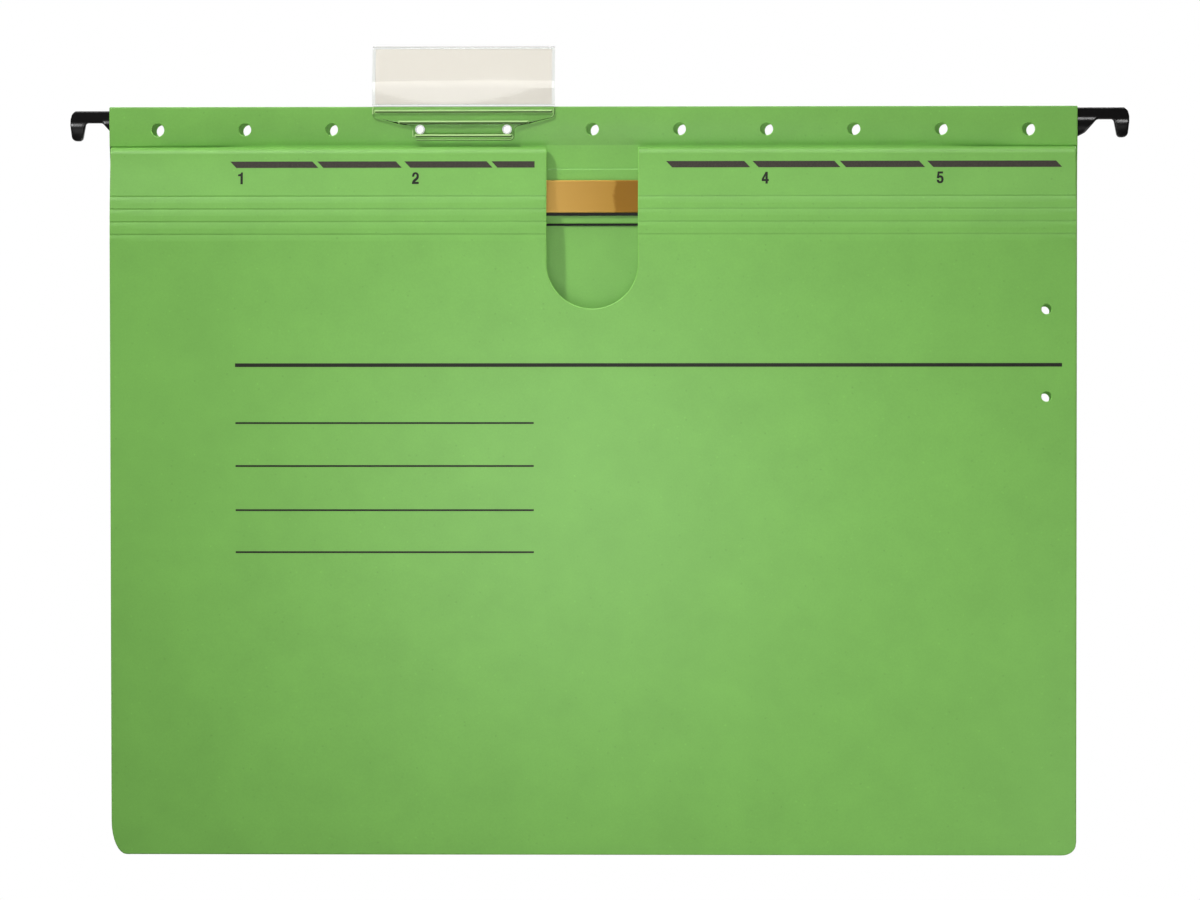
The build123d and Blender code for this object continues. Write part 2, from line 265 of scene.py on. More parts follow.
class Surface(Graph):
    """A material's node tree with a surface shader, and the patterns that vary it."""

    def __init__(self, material: bpy.types.Material, inputs: dict[str, Any]) -> None:
        """Add the shader.

        Args:
            material: the material.
            inputs: the values of the shader's inputs.
        """
        super().__init__(material, "ShaderNodeOutputMaterial")
        self.shader = self.add("ShaderNodeBsdfPrincipled", inputs)
        self.show(self.shader)
        self.place = self.place_by("Object")

    def feed(self, name: str, value: Socket) -> None:
        """Link a value to an input of the shader."""
        self.tree.links.new(value, self.shader.inputs[name])

    def noise(self, grain: Grain) -> Socket:
        """Give a grain's plain noise.

        Args:
            grain: the grain.

        Returns:
            The noise.
        """
        squeeze = (1 / grain.stretch, 1.0, 1.0)
        place = self.add("ShaderNodeVectorMath", {0: self.place, 1: squeeze}, operation="MULTIPLY")
        return self.add("ShaderNodeTexNoise", {
            "Vector": place.outputs[0], "Scale": per_metre(grain.size), "Detail": grain.detail,
            "Roughness": grain.roughness}).outputs["Fac"]

    def level(self, grain: Grain) -> Socket:
        """Give a grain's noise, spread over its levels."""
        return self.grade(self.noise(grain), grain.source, grain.levels)

    def cells(self, size: float) -> bpy.types.Node:
        """Strew points that are about a size apart."""
        return self.add("ShaderNodeTexVoronoi", {
            "Vector": self.place, "Scale": per_metre(size), "Randomness": 1.0})

    def shade(self, colour: str, strength: Socket) -> None:
        """Make the base colour lighter and darker by a strength."""
        shares = {0: linear(colour)[:3], "Scale": strength}
        self.feed("Base Color", self.add("ShaderNodeVectorMath", shares, operation="SCALE").outputs[0])

    def emboss(self, height: Socket, bump: Flat) -> None:
        """Raise the face by a height, with a strength and a depth in mm."""
        raised = {"Height": height, "Strength": bump[0], "Distance": bump[1] * MM}
        self.feed("Normal", self.add("ShaderNodeBump", raised).outputs[0])


@dataclass(frozen=True)
class Finish:
    """A finish: its colour and sheen, and the grains that vary its tone, its sheen and its face."""

    name: str
    slot: Slot
    colour: str
    roughness: float
    specular: float = 0.5
    metallic: float = 0.0
    tone: Optional[Grain] = None
    sheen: Optional[Grain] = None
    face: Optional[Grain] = None
    bump: Flat = (0.0, 0.0)

    def material(self) -> bpy.types.Material:
        """Give this finish's material, which is made the first time.

        Returns:
            The material.
        """
        material = bpy.data.materials.get(self.name)
        if not material:
            material = bpy.data.materials.new(self.name)
            self.dress(Surface(material, {
                "Base Color": linear(self.colour), "Roughness": self.roughness, "IOR": IOR,
                "Metallic": self.metallic, "Specular IOR Level": self.specular}))
        return material

    def dress(self, surface: Surface) -> None:
        """Vary the surface by the finish's grains.

        Args:
            surface: the material's nodes.
        """
        if self.tone:
            surface.shade(self.colour, surface.level(self.tone))
        if self.sheen:
            surface.feed("Roughness", surface.calc("MULTIPLY", surface.level(self.sheen), self.roughness))
        if self.face:
            surface.emboss(surface.noise(self.face), self.bump)


@dataclass(frozen=True)
class PulpBoard(Finish):
    """Dyed pulp board, calendered: matt, faintly clouded, with stray fibres and small dents.

    Flecks and dents lie so many millimetres apart, and their edges are shares of that distance.
    """

    cloud: Grain = Grain(14.0, 4.0, (0.955, 1.045), roughness=0.6)
    fibre: Grain = Grain(0.55, 2.0, (0.965, 1.035), (0.25, 0.75), roughness=0.6)
    fibre_height: float = 0.35
    fleck: float = 2.6
    fleck_edge: Flat = (0.16, 0.07)
    fleck_tones: Flat = (-0.14, 0.12)
    dent: float = 13.0
    dent_edge: Flat = (0.0, 0.05)
    bump: Flat = (0.5, 0.06)

    def dress(self, surface: Surface) -> None:
        """Cloud the colour, strew fibres over it, and roughen and dent the face."""
        shade = surface.calc("MULTIPLY", surface.level(self.cloud), surface.level(self.fibre))
        flecks = surface.cells(self.fleck).outputs
        tone = surface.grade(surface.axis(flecks["Color"], "X"), target=self.fleck_tones)
        spot = surface.calc("MULTIPLY", surface.grade(flecks["Distance"], self.fleck_edge), tone)
        surface.shade(self.colour, surface.calc("ADD", shade, spot))
        pit = surface.grade(surface.cells(self.dent).outputs["Distance"], self.dent_edge, smooth=True)
        height = surface.calc("MULTIPLY_ADD", surface.noise(self.fibre), self.fibre_height, pit)
        surface.emboss(height, self.bump)


@dataclass(frozen=True)
class ClearPlastic(Finish):
    """Clear moulded polystyrene: water-clear, faintly wavy walls, with fine light and dark edges."""

    wall_facing: float = 0.93
    shade_colour: str = "#FDFDFD"

    def dress(self, surface: Surface) -> None:
        """Let light through, also what matt faces spread and, through the walls, what lamps send."""
        super().dress(surface)
        surface.shader.inputs["Transmission Weight"].default_value = 1.0
        square = surface.calc("ABSOLUTE", surface.axis(surface.place_by("Normal"), "Y"))
        wall = surface.calc("GREATER_THAN", square, self.wall_facing)
        lamp = surface.calc("MULTIPLY", surface.ray("Is Shadow Ray"), wall)
        spread = surface.calc("MAXIMUM", lamp, surface.ray("Is Diffuse Ray"))
        through = surface.add("ShaderNodeBsdfTransparent", {"Color": linear(self.shade_colour)})
        surface.show(surface.mix_shaders(spread, surface.shader, through))


@dataclass(frozen=True)
class LacqueredSteel(Finish):
    """Steel strip under gold lacquer: a soft metal sheen, darkened along it and browner on one side by a painted
    reflection.
    """

    # Painted reflection: the gold darkens along the strip and turns browner past a wavy line.
    reflection_fade_colour: str = "#AD8640"
    reflection_fade_start: float = -13.0
    dark_reflection_colour: str = "#8F682B"
    dark_reflection_start: float = 5.2
    dark_reflection_blend: float = 0.8
    dark_reflection_sway: Grain = Grain(4.0, 2.0)

    def dress(self, surface: Surface) -> None:
        """Paint a reflection that darkens the gold along the strip, and a browner painted reflection past a wavy
        line.
        """
        super().dress(surface)
        along = surface.axis(surface.place, "X")
        edge = surface.calc("MULTIPLY_ADD", surface.noise(self.dark_reflection_sway), self.dark_reflection_sway.size * MM, along)
        middle = self.dark_reflection_start + self.dark_reflection_sway.size / 2
        dark_reflection_ends = ((middle - self.dark_reflection_blend) * MM, (middle + self.dark_reflection_blend) * MM)
        reflection_fade = surface.grade(along, (self.reflection_fade_start * MM, self.dark_reflection_start * MM))
        faded_gold = surface.mix(reflection_fade, linear(self.colour), linear(self.reflection_fade_colour))
        # run: the share of the browner painted reflection, past the wavy line
        run = surface.grade(edge, dark_reflection_ends, smooth=True)
        surface.feed("Base Color", surface.mix(run, faded_gold, linear(self.dark_reflection_colour)))


# Board: matt green faces, and cut edges that are paler and rougher: partly the cut board's own paler fibre, partly
# a painted highlight along the eased edges.
GREEN_BOARD = PulpBoard("calendered_green_pulp_board", Slot.BOARD, "#78B750", 0.5)
PALE_EDGE_AND_HIGHLIGHT = PulpBoard("pale_cut_board_edge_and_painted_highlight", Slot.BOARD, "#85C65A", 0.6)
# Offset ink: flat and dark, a little broken where the board's grain shows through.
INK_BREAKS = Grain(0.45, 2.0, (0.8, 1.35), (0.3, 0.75))
BLACK_INK = Finish("offset_printed_black_ink", Slot.BOARD, "#14160D", 0.6, specular=0.3, tone=INK_BREAKS)
DARK_INK = Finish("offset_printed_dark_ink", Slot.BOARD, "#363129", 0.6, specular=0.3, tone=INK_BREAKS)
# Plastic from a polished mould: deep black, with handling scuffs and soft flow waves in its highlights.
BLACK_PLASTIC = Finish("moulded_black_polyamide", Slot.HOOK, "#050404", 0.3, specular=0.4,
                       sheen=Grain(0.7, 3.0, (0.95, 1.1)), face=Grain(4.0, 1.0), bump=(0.05, 0.1))
# Clear plastic, and its edges in painted light: a painted highlight on the upper ones, and on the lower ones
# painted shadow, dark green as shaded board.
CLEAR_PLASTIC = ClearPlastic("moulded_clear_polystyrene", Slot.CLEAR, "#FCFDFB", 0.04,
                             face=Grain(9.0, 1.0), bump=(0.03, 0.1))
PAINTED_HIGHLIGHT_EDGE = Finish("polystyrene_edge_painted_highlight", Slot.CLEAR, "#B4DB8E", 0.4)
PAINTED_SHADOW_EDGE = Finish("polystyrene_edge_painted_shadow", Slot.CLEAR, "#3F6624", 0.5, specular=0.3)
# Uncoated label paper: matt ivory, faintly clouded by its fibres.
PAPER_FIBRE = Grain(0.8, 3.0, (0.97, 1.0), roughness=0.6)
IVORY_PAPER = Finish("uncoated_ivory_label_paper", Slot.PAPER, "#F0EAE0", 0.85, specular=0.2,
                     tone=PAPER_FIBRE, face=PAPER_FIBRE, bump=(0.2, 0.05))
# Steel strip: fine lines along the roll, under gold lacquer, or bare with an uneven sheen.
ROLL_LINES = Grain(0.8, 3.0, (0.75, 1.3), stretch=20.0)
GOLD_STEEL = LacqueredSteel("gold_lacquered_steel_strip", Slot.GOLD, "#BE9750", 0.55, metallic=1.0,
                            face=Grain(1.2, 3.0, stretch=20.0), bump=(0.12, 0.03))
# The blackened prong strip is partly painted shade: its edge below the gold bar stands in for the dark line of
# shade under the bar.
BLACK_STEEL_AND_CREVICE_SHADE = Finish("blackened_steel_and_painted_crevice_shade", Slot.PRONG, "#0E0D0C", 0.45, specular=0.3,
                     sheen=ROLL_LINES, face=ROLL_LINES, bump=(0.2, 0.04))
RAIL_STEEL = Finish("zinc_plated_rolled_steel", Slot.STEEL, "#B9BCBE", 0.35, metallic=1.0,
                    sheen=ROLL_LINES, face=ROLL_LINES, bump=(0.2, 0.04))
# Hard fibre sheet, pressed: dull black, with a fine felted grain. Its black is partly painted shade: the backing
# strip's edge below the flap stands in for the shade in the crevice there.
FELT = Grain(0.6, 3.0, (0.8, 1.2))
BLACK_FIBRE_AND_CREVICE_SHADE = Finish("black_hard_fibre_and_painted_crevice_shade", Slot.FIBRE, "#12110F", 0.7, specular=0.25,
                     tone=FELT, face=FELT, bump=(0.3, 0.05))


def to_mm(point: Sequence[float]) -> Vector:
    """Turn a point of the frame into millimetres."""
    return Vector(point) / MM


def node_box(node: str) -> tuple[Vector, Vector]:
    """Give a node's lowest and highest corners in millimetres."""
    low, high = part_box(node)
    return to_mm(low), to_mm(high)


def place_of(name: str) -> Vector:
    """Give the place of a joint or a mount in millimetres."""
    known = (*frame["joints"], *frame["record"]["mounts"])
    return next(to_mm(item["pos_m"]) for item in known if item["name"] == name)


def hole_pitch() -> float:
    """Give the distance between two tab holes."""
    return (place_of("tab_position_3").x - place_of("tab_position_1").x) / HOLES_APART


@dataclass(frozen=True)
class Run:
    """A straight or round stretch of a sheet's path: a start, a heading and a turn per millimetre."""

    start: float
    length: float
    y: float
    z: float
    heading: float
    turn: float

    def at(self, along: float) -> Triple:
        """Follow the stretch.

        Args:
            along: the distance from the path's own start.

        Returns:
            The place, Y and Z, and the heading there.
        """
        gone = along - self.start
        heading = self.heading + self.turn * gone
        if self.turn == 0:
            return self.y + gone * math.cos(heading), self.z + gone * math.sin(heading), heading
        return (self.y + (math.sin(heading) - math.sin(self.heading)) / self.turn,
                self.z - (math.cos(heading) - math.cos(self.heading)) / self.turn, heading)


class SheetPath:
    """The outer face of a folded sheet, seen from its side: corners in Y and Z, each with a bend radius."""

    row_turn = 0.15  # radians, the most that a bend turns from row to row
    row_gap = 0.02  # rows nearer than this are one

    def __init__(self, corners: Sequence[Triple]) -> None:
        """Lay the path through its corners.

        Args:
            corners: Y, Z and bend radius of each corner, in order. The outer face is on the left.
        """
        self.runs: list[Run] = []
        self.length = 0.0
        points = [Vector(corner[:2]) for corner in corners]
        steps = [after - before for before, after in zip(points, points[1:])]
        angles = [math.atan2(step.y, step.x) for step in steps]
        here = points[0]
        for i, (at, corner) in enumerate(zip(points[1:-1], corners[1:-1])):
            radius = corner[2]
            swing = (angles[i + 1] - angles[i] + math.pi) % math.tau - math.pi
            setback = radius * math.tan(abs(swing) / 2)
            bend_start = at - steps[i].normalized() * setback
            self._add(here, (bend_start - here).length, angles[i], 0.0)
            if radius > 0:
                self._add(bend_start, radius * abs(swing), angles[i], math.copysign(1 / radius, swing))
            here = at + steps[i + 1].normalized() * setback
        self._add(here, (points[-1] - here).length, angles[-1], 0.0)

    def _add(self, start: Vector, length: float, heading: float, turn: float) -> None:
        """Add a stretch at the path's end, unless it has no length."""
        if length > TINY:
            self.runs.append(Run(self.length, length, start.x, start.y, heading, turn))
            self.length += length

    def at(self, along: float) -> Triple:
        """Give Y, Z and heading at a distance along the path."""
        index = bisect_right([run.start for run in self.runs], along) - 1
        return self.runs[max(index, 0)].at(along)

    def height(self, z: float, rising: bool = True) -> float:
        """Find where the path passes a height.

        Args:
            z: the height.
            rising: whether the path goes up or down there.

        Returns:
            The distance along the path.
        """
        for run in self.runs:
            ends = (run.start, run.start + run.length)
            low, high = ends if rising else ends[::-1]
            bottom, top = run.at(low)[1], run.at(high)[1]
            if bottom == top or not bottom - TINY <= z <= top + TINY:
                continue
            for _ in range(HALVINGS):
                middle = (low + high) / 2
                low, high = (middle, high) if run.at(middle)[1] < z else (low, middle)
            return (low + high) / 2
        raise ValueError(f"the path does not pass {z}")

    def rows(self, low: float, high: float, step: float, extra: Sequence[float]) -> list[float]:
        """Divide a stretch of the path into rows.

        Args:
            low: where the rows start.
            high: where they end.
            step: the longest straight step.
            extra: rows that are wanted besides.

        Returns:
            The distances of the rows, with both ends.
        """
        found = {low, high} | {row for row in extra if low < row < high}
        for run in self.runs:
            start, end = max(low, run.start), min(high, run.start + run.length)
            if end - start > TINY:
                count = math.ceil(max((end - start) / step, abs(run.turn) * (end - start) / self.row_turn))
                found.update(start + (end - start) * i / count for i in range(count + 1))
        kept: list[float] = []
        for row in sorted(found):
            if not kept or row - kept[-1] > self.row_gap:
                kept.append(row)
        return kept


@dataclass
class Blank:
    """A flat piece of board before it is folded: its outline and holes, across and along the sheet."""

    outline: Loop
    holes: list[Loop] = field(default_factory=list)
    seams: tuple[float, ...] = ()


def slope(value: float, low: float, high: float) -> float:
    """Rise evenly from 0 at low to 1 at high, or fall where low is above high."""
    return max(0.0, min(1.0, (value - low) / (high - low)))


def ramp(value: float, low: float, high: float) -> float:
    """Rise smoothly from 0 at low to 1 at high, or fall where low is above high."""
    share = slope(value, low, high)
    return share * share * (3 - 2 * share)


def arc(centre: Flat, radii: Flat, start: float, swing: float, steps: int = 8) -> Loop:
    """Draw a round or oval arc.

    Args:
        centre: its centre.
        radii: its radius across and along the sheet.
        start: the angle where it starts.
        swing: how far it turns, to the left.
        steps: the number of straight steps.

    Returns:
        The points of the arc.
    """
    angles = [start + swing * i / steps for i in range(steps + 1)]
    return [(centre[0] + radii[0] * math.cos(a), centre[1] + radii[1] * math.sin(a)) for a in angles]


def round_hole(centre: Flat, radius: float, steps: int = 28) -> Loop:
    """Draw a round hole."""
    return arc(centre, (radius, radius), 0.0, math.tau, steps)[:-1]


def rounded(corners: Sequence[Triple], steps: int = 7) -> Loop:
    """Draw a closed outline with round corners.

    Args:
        corners: two coordinates and a radius for each corner.
        steps: the number of straight steps in each round corner.

    Returns:
        The outline.
    """
    loop: Loop = []
    for i, (x, z, radius) in enumerate(corners):
        at = Vector((x, z))
        back = (Vector(corners[i - 1][:2]) - at).normalized()
        on = (Vector(corners[(i + 1) % len(corners)][:2]) - at).normalized()
        half = back.angle(on) / 2
        if radius == 0:
            loop.append((x, z))
            continue
        centre = at + (back + on).normalized() * radius / math.sin(half)
        start, end = (at + way * radius / math.tan(half) - centre for way in (back, on))
        start_angle = math.atan2(start.y, start.x)
        swing = (math.atan2(end.y, end.x) - start_angle + math.pi) % math.tau - math.pi
        loop += arc(centre[:], (radius, radius), start_angle, swing, steps)
    return loop


def edges_of(loop: list[Any]) -> Iterable[tuple[Any, Any]]:
    """Pair each point of a loop, or its number, with the next."""
    return zip(loop, loop[1:] + loop[:1])


def turned(loop: Loop, left: bool) -> Loop:
    """Let a loop run to the left, as an outline does, or to the right, as a hole does."""
    area = sum(a[0] * b[1] - b[0] * a[1] for a, b in edges_of(loop))
    return loop if (area > 0) == left else loop[::-1]


def inside(point: Flat, loops: Sequence[Loop]) -> bool:
    """Say whether a point is inside an outline and outside its holes.

    Args:
        point: the point.
        loops: the outline and the holes.

    Returns:
        True where the point is on the material.
    """
    odd = False
    for loop in loops:
        for a, b in edges_of(loop):
            if (a[1] > point[1]) != (b[1] > point[1]):
                odd ^= point[0] < a[0] + (point[1] - a[1]) * (b[0] - a[0]) / (b[1] - a[1])
    return odd


def edge_distance(point: Flat, loops: Sequence[Loop]) -> float:
    """Give the distance from a point to the nearest edge.

    Args:
        point: the point.
        loops: the outlines and holes that have the edges.

    Returns:
        The distance.
    """
    nearest = math.inf
    here = Vector(point)
    for loop in loops:
        for a, b in edges_of(loop):
            way, step = here - Vector(a), Vector(b) - Vector(a)
            share = slope(way.dot(step), 0.0, step.length_squared) if step.length > TINY else 0.0
            nearest = min(nearest, (way - step * share).length)
    return nearest


def split_loop(loop: Loop, columns: Sequence[float], rows: Sequence[float]) -> Loop:
    """Add points to a loop where columns meet its level edges and rows meet its other edges.

    Args:
        loop: the loop.
        columns: places across the sheet.
        rows: places along the sheet.

    Returns:
        The loop with the added points.
    """
    result: Loop = []
    for a, b in edges_of(loop):
        axis, marks = (0, columns) if abs(a[1] - b[1]) < TINY else (1, rows)
        reach = b[axis] - a[axis]
        shares = sorted((mark - a[axis]) / reach for mark in marks) if reach else []
        result.append(a)
        result += [(a[0] + (b[0] - a[0]) * share, a[1] + (b[1] - a[1]) * share)
                   for share in shares if END_SHARE < share < 1 - END_SHARE]
    return result


def inset_loop(loop: Loop, width: float, seams: Sequence[float] = ()) -> Loop:
    """Draw a loop's edges in towards the material, which is on its left, except along seams.

    Args:
        loop: the loop.
        width: how far the edges move.
        seams: places along the sheet whose level edges stay.

    Returns:
        The moved loop, point for point.
    """
    pushes: list[tuple[Vector, float]] = []
    for a, b in edges_of(loop):
        step = Vector((b[0] - a[0], b[1] - a[1])).normalized()
        on_seam = any(max(abs(a[1] - seam), abs(b[1] - seam)) < TINY for seam in seams)
        pushes.append((Vector((-step.y, step.x)), 0.0 if on_seam else width))
    moved: Loop = []
    for at, (n1, w1), (n2, w2) in zip(loop, pushes[-1:] + pushes, pushes):
        cross = n1.x * n2.y - n1.y * n2.x
        if abs(cross) < STRAIGHT:
            push = (n1 + n2).normalized() * (w1 + w2) / 2
        else:
            push = Vector(((w1 * n2.y - w2 * n1.y) / cross, (w2 * n1.x - w1 * n2.x) / cross))
        moved.append((at[0] + push.x, at[1] + push.y))
    return moved


def clear_spots(spots: Iterable[Flat], loops: Sequence[Loop], gap: float) -> list[Flat]:
    """Keep the spots that lie on the material, clear of its edges by a gap."""
    return [spot for spot in spots if inside(spot, loops) and edge_distance(spot, loops) > gap]


def fill(loops: Sequence[Loop], spots: Sequence[Flat], sheet: Sequence[Loop]) -> Filling:
    """Fill a flat sheet with triangles.

    Args:
        loops: the closed lines that the triangles keep to.
        spots: the points inside that they use.
        sheet: the outline and holes of the part that is filled.

    Returns:
        The points, the corners of each triangle, and for each loop the numbers of its own points.
    """
    lines: list[tuple[int, int]] = []
    numbers: list[range] = []
    for loop in loops:
        numbers.append(range(len(lines), len(lines) + len(loop)))
        lines += edges_of(list(numbers[-1]))
    flats = [Vector(point) for points in (*loops, spots) for point in points]
    places, _, cells, sources, _, _ = delaunay_2d_cdt(flats, lines, [], 0, TINY)
    middles = (sum((places[i] for i in cell), Vector((0.0, 0.0))) / len(cell) for cell in cells)
    kept = [cell for cell, middle in zip(cells, middles) if inside(middle[:], sheet)]
    found = {source: index for index, group in enumerate(sources) for source in group}
    return places, kept, [[found[number] for number in own] for own in numbers]


def add_faces(shape: Shape, front: Sequence[Vector], back: Sequence[Vector],
              cells: Sequence[Sequence[int]]) -> tuple[Verts, Verts]:
    """Add the front and back of a sheet to a shape.

    Args:
        shape: the shape.
        front: the points of the front.
        back: the points of the back, in the same order.
        cells: the corners of each face.

    Returns:
        The vertices of the front and of the back.
    """
    fronts, backs = ([shape.verts.new(point * MM) for point in points] for points in (front, back))
    for cell in cells:
        shape.faces.new([fronts[i] for i in cell])
        shape.faces.new([backs[i] for i in reversed(cell)])
    return fronts, backs


def add_walls(shape: Shape, rings: Sequence[Verts], finish: int = 0) -> None:
    """Join closed rings of vertices with faces.

    Args:
        shape: the shape.
        rings: the rings, from the front to the back.
        finish: the number of the faces' material.
    """
    for upper, lower in zip(rings, rings[1:]):
        for i in range(len(upper)):
            shape.faces.new((upper[i], upper[i - 1], lower[i - 1], lower[i])).material_index = finish


@dataclass
class FoldedSheet:
    """A closed sheet of even thickness that follows a path.

    Its edges are eased, so far in from the rim and so deep. The lift raises the sheet over its path, and the
    relief raises or sinks places of it. The steps and gaps are those of its mesh.
    """

    path: SheetPath
    thickness: float
    eased: Flat = (0.3, 0.19)
    lift: float = 0.0
    column_step: float = 9.0
    column_gap: float = 0.5
    edge_gap: float = 1.08
    relief: Optional[Relief] = None
    extra_rows: tuple[float, ...] = ()

    def point(self, across: float, along: float, depth: float) -> Vector:
        """Place a point of the sheet.

        Args:
            across: the place across the sheet, X.
            along: the distance along its path.
            depth: the depth under its outer face.

        Returns:
            The point.
        """
        y, z, heading = self.path.at(along)
        out = self.lift - depth + (self.relief(across, along) if self.relief else 0.0)
        return Vector((across, y - out * math.sin(heading), z + out * math.cos(heading)))

    def mesh(self, name: str, blanks: Sequence[Blank]) -> Piece:
        """Fold blanks into one mesh object.

        Args:
            name: the object's name.
            blanks: the flat pieces.

        Returns:
            The object, in the scene.
        """
        shape = bmesh.new()
        for blank in blanks:
            self._fold(shape, blank)
        bmesh.ops.recalc_face_normals(shape, faces=shape.faces)
        return mesh_object(name, shape)

    def _grid(self, blank: Blank) -> tuple[list[float], list[float]]:
        """Choose the columns and rows of a blank's mesh, with a column through each hole.

        Args:
            blank: the blank.

        Returns:
            Their places, across and along.
        """
        across, along = zip(*blank.outline)
        left, width = min(across), max(across) - min(across)
        count = math.ceil(width / self.column_step)
        columns = [left + width * i / count for i in range(count + 1)]
        for hole in blank.holes:
            middle = sum(x for x, _ in hole) / len(hole)
            if min(abs(middle - column) for column in columns) > self.column_gap:
                columns.append(middle)
        return sorted(columns), self.path.rows(min(along), max(along), self.column_step, self.extra_rows)

    def _fold(self, shape: Shape, blank: Blank) -> None:
        """Add one folded blank to a shape.

        Args:
            shape: the shape.
            blank: the blank.
        """
        reach, drop = self.eased
        columns, rows = self._grid(blank)
        rims = [split_loop(turned(blank.outline, True), columns, rows)]
        rims += [turned(hole, False) for hole in blank.holes]
        flats = [inset_loop(rims[0], reach, blank.seams)] + [inset_loop(rim, drop) for rim in rims[1:]]
        grid = ((column, row) for row in rows[1:-1] for column in columns[1:-1])
        places, cells, owns = fill(flats, clear_spots(grid, flats, self.edge_gap), flats)
        faces = ([self.point(x, s, depth) for x, s in places] for depth in (0.0, self.thickness))
        outer, inner = add_faces(shape, *faces, cells)
        depths = (drop, self.thickness - drop) if drop > 0 else ()
        for rim, own in zip(rims, owns):
            rings = [[shape.verts.new(self.point(x, s, depth) * MM) for x, s in rim] for depth in depths]
            add_walls(shape, [[outer[i] for i in own], *rings, [inner[i] for i in own]], EDGE_FINISH)


def scene_object(name: str, data: bpy.types.ID) -> Piece:
    """Put a mesh, a light or a camera into the scene."""
    thing = bpy.data.objects.new(name, data)
    bpy.context.scene.collection.objects.link(thing)
    return thing


def mesh_object(name: str, shape: Shape, sharp_deg: float = FOLD_SHARP_DEG) -> Piece:
    """Turn a shape into an object of the scene, with smooth faces and sharp edges.

    Args:
        name: the object's name.
        shape: the shape, which is used up.
        sharp_deg: edges that turn more than this stay sharp.

    Returns:
        The object.
    """
    loose = [vert for vert in shape.verts if not vert.link_faces]
    bmesh.ops.delete(shape, geom=loose, context="VERTS")
    mesh = bpy.data.meshes.new(name)
    shape.to_mesh(mesh)
    shape.free()
    mesh.shade_smooth()
    mesh.set_sharp_from_angle(angle=math.radians(sharp_deg))
    return scene_object(name, mesh)


def dress(piece: Piece, finish: Finish, body: Optional[Body] = None, replaces: Sequence[str] = (),
          rim: Optional[Finish] = None) -> Piece:
    """Give a piece its finish, its body and the nodes that it stands for.

    Args:
        piece: the piece.
        finish: its finish.
        body: the body that it moves with, or none.
        replaces: the nodes that it stands for.
        rim: the finish of its cut edges, where it differs.

    Returns:
        The piece.
    """
    piece.data.materials.append(finish.material())
    if rim:
        piece.data.materials.append(rim.material())
    else:
        piece.data.polygons.foreach_set("material_index", [0] * len(piece.data.polygons))
    if body:
        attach(piece, body.value)
    if replaces:
        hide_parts(*replaces)
    LOG.info("%s: %s, %d faces", piece.name, finish.name, len(piece.data.polygons))
    return piece


def softened(node: str, name: str, width: float, segments: int = 2) -> Piece:
    """Copy a node's solid with its sharp edges rounded.

    Args:
        node: the node.
        name: the name of the new piece.
        width: the width of the rounding.
        segments: the number of steps in it.

    Returns:
        The new piece.
    """
    shape = bmesh.new()
    shape.from_mesh(frame["nodes"][node].data)
    bmesh.ops.remove_doubles(shape, verts=shape.verts, dist=TINY)
    bmesh.ops.dissolve_limit(shape, angle_limit=FLAT_ANGLE, verts=shape.verts, edges=shape.edges)
    sharp = [edge for edge in shape.edges
             if len(edge.link_faces) == 2 and edge.calc_face_angle() > math.radians(ROUNDED_DEG)]
    bmesh.ops.bevel(shape, geom=sharp, offset=width * MM, offset_type="OFFSET", segments=segments,
                    profile=ROUND_PROFILE, affect="EDGES", clamp_overlap=True)
    bmesh.ops.triangulate(shape, faces=[face for face in shape.faces if len(face.verts) > QUAD])
    return mesh_object(name, shape, SOLID_SHARP_DEG)


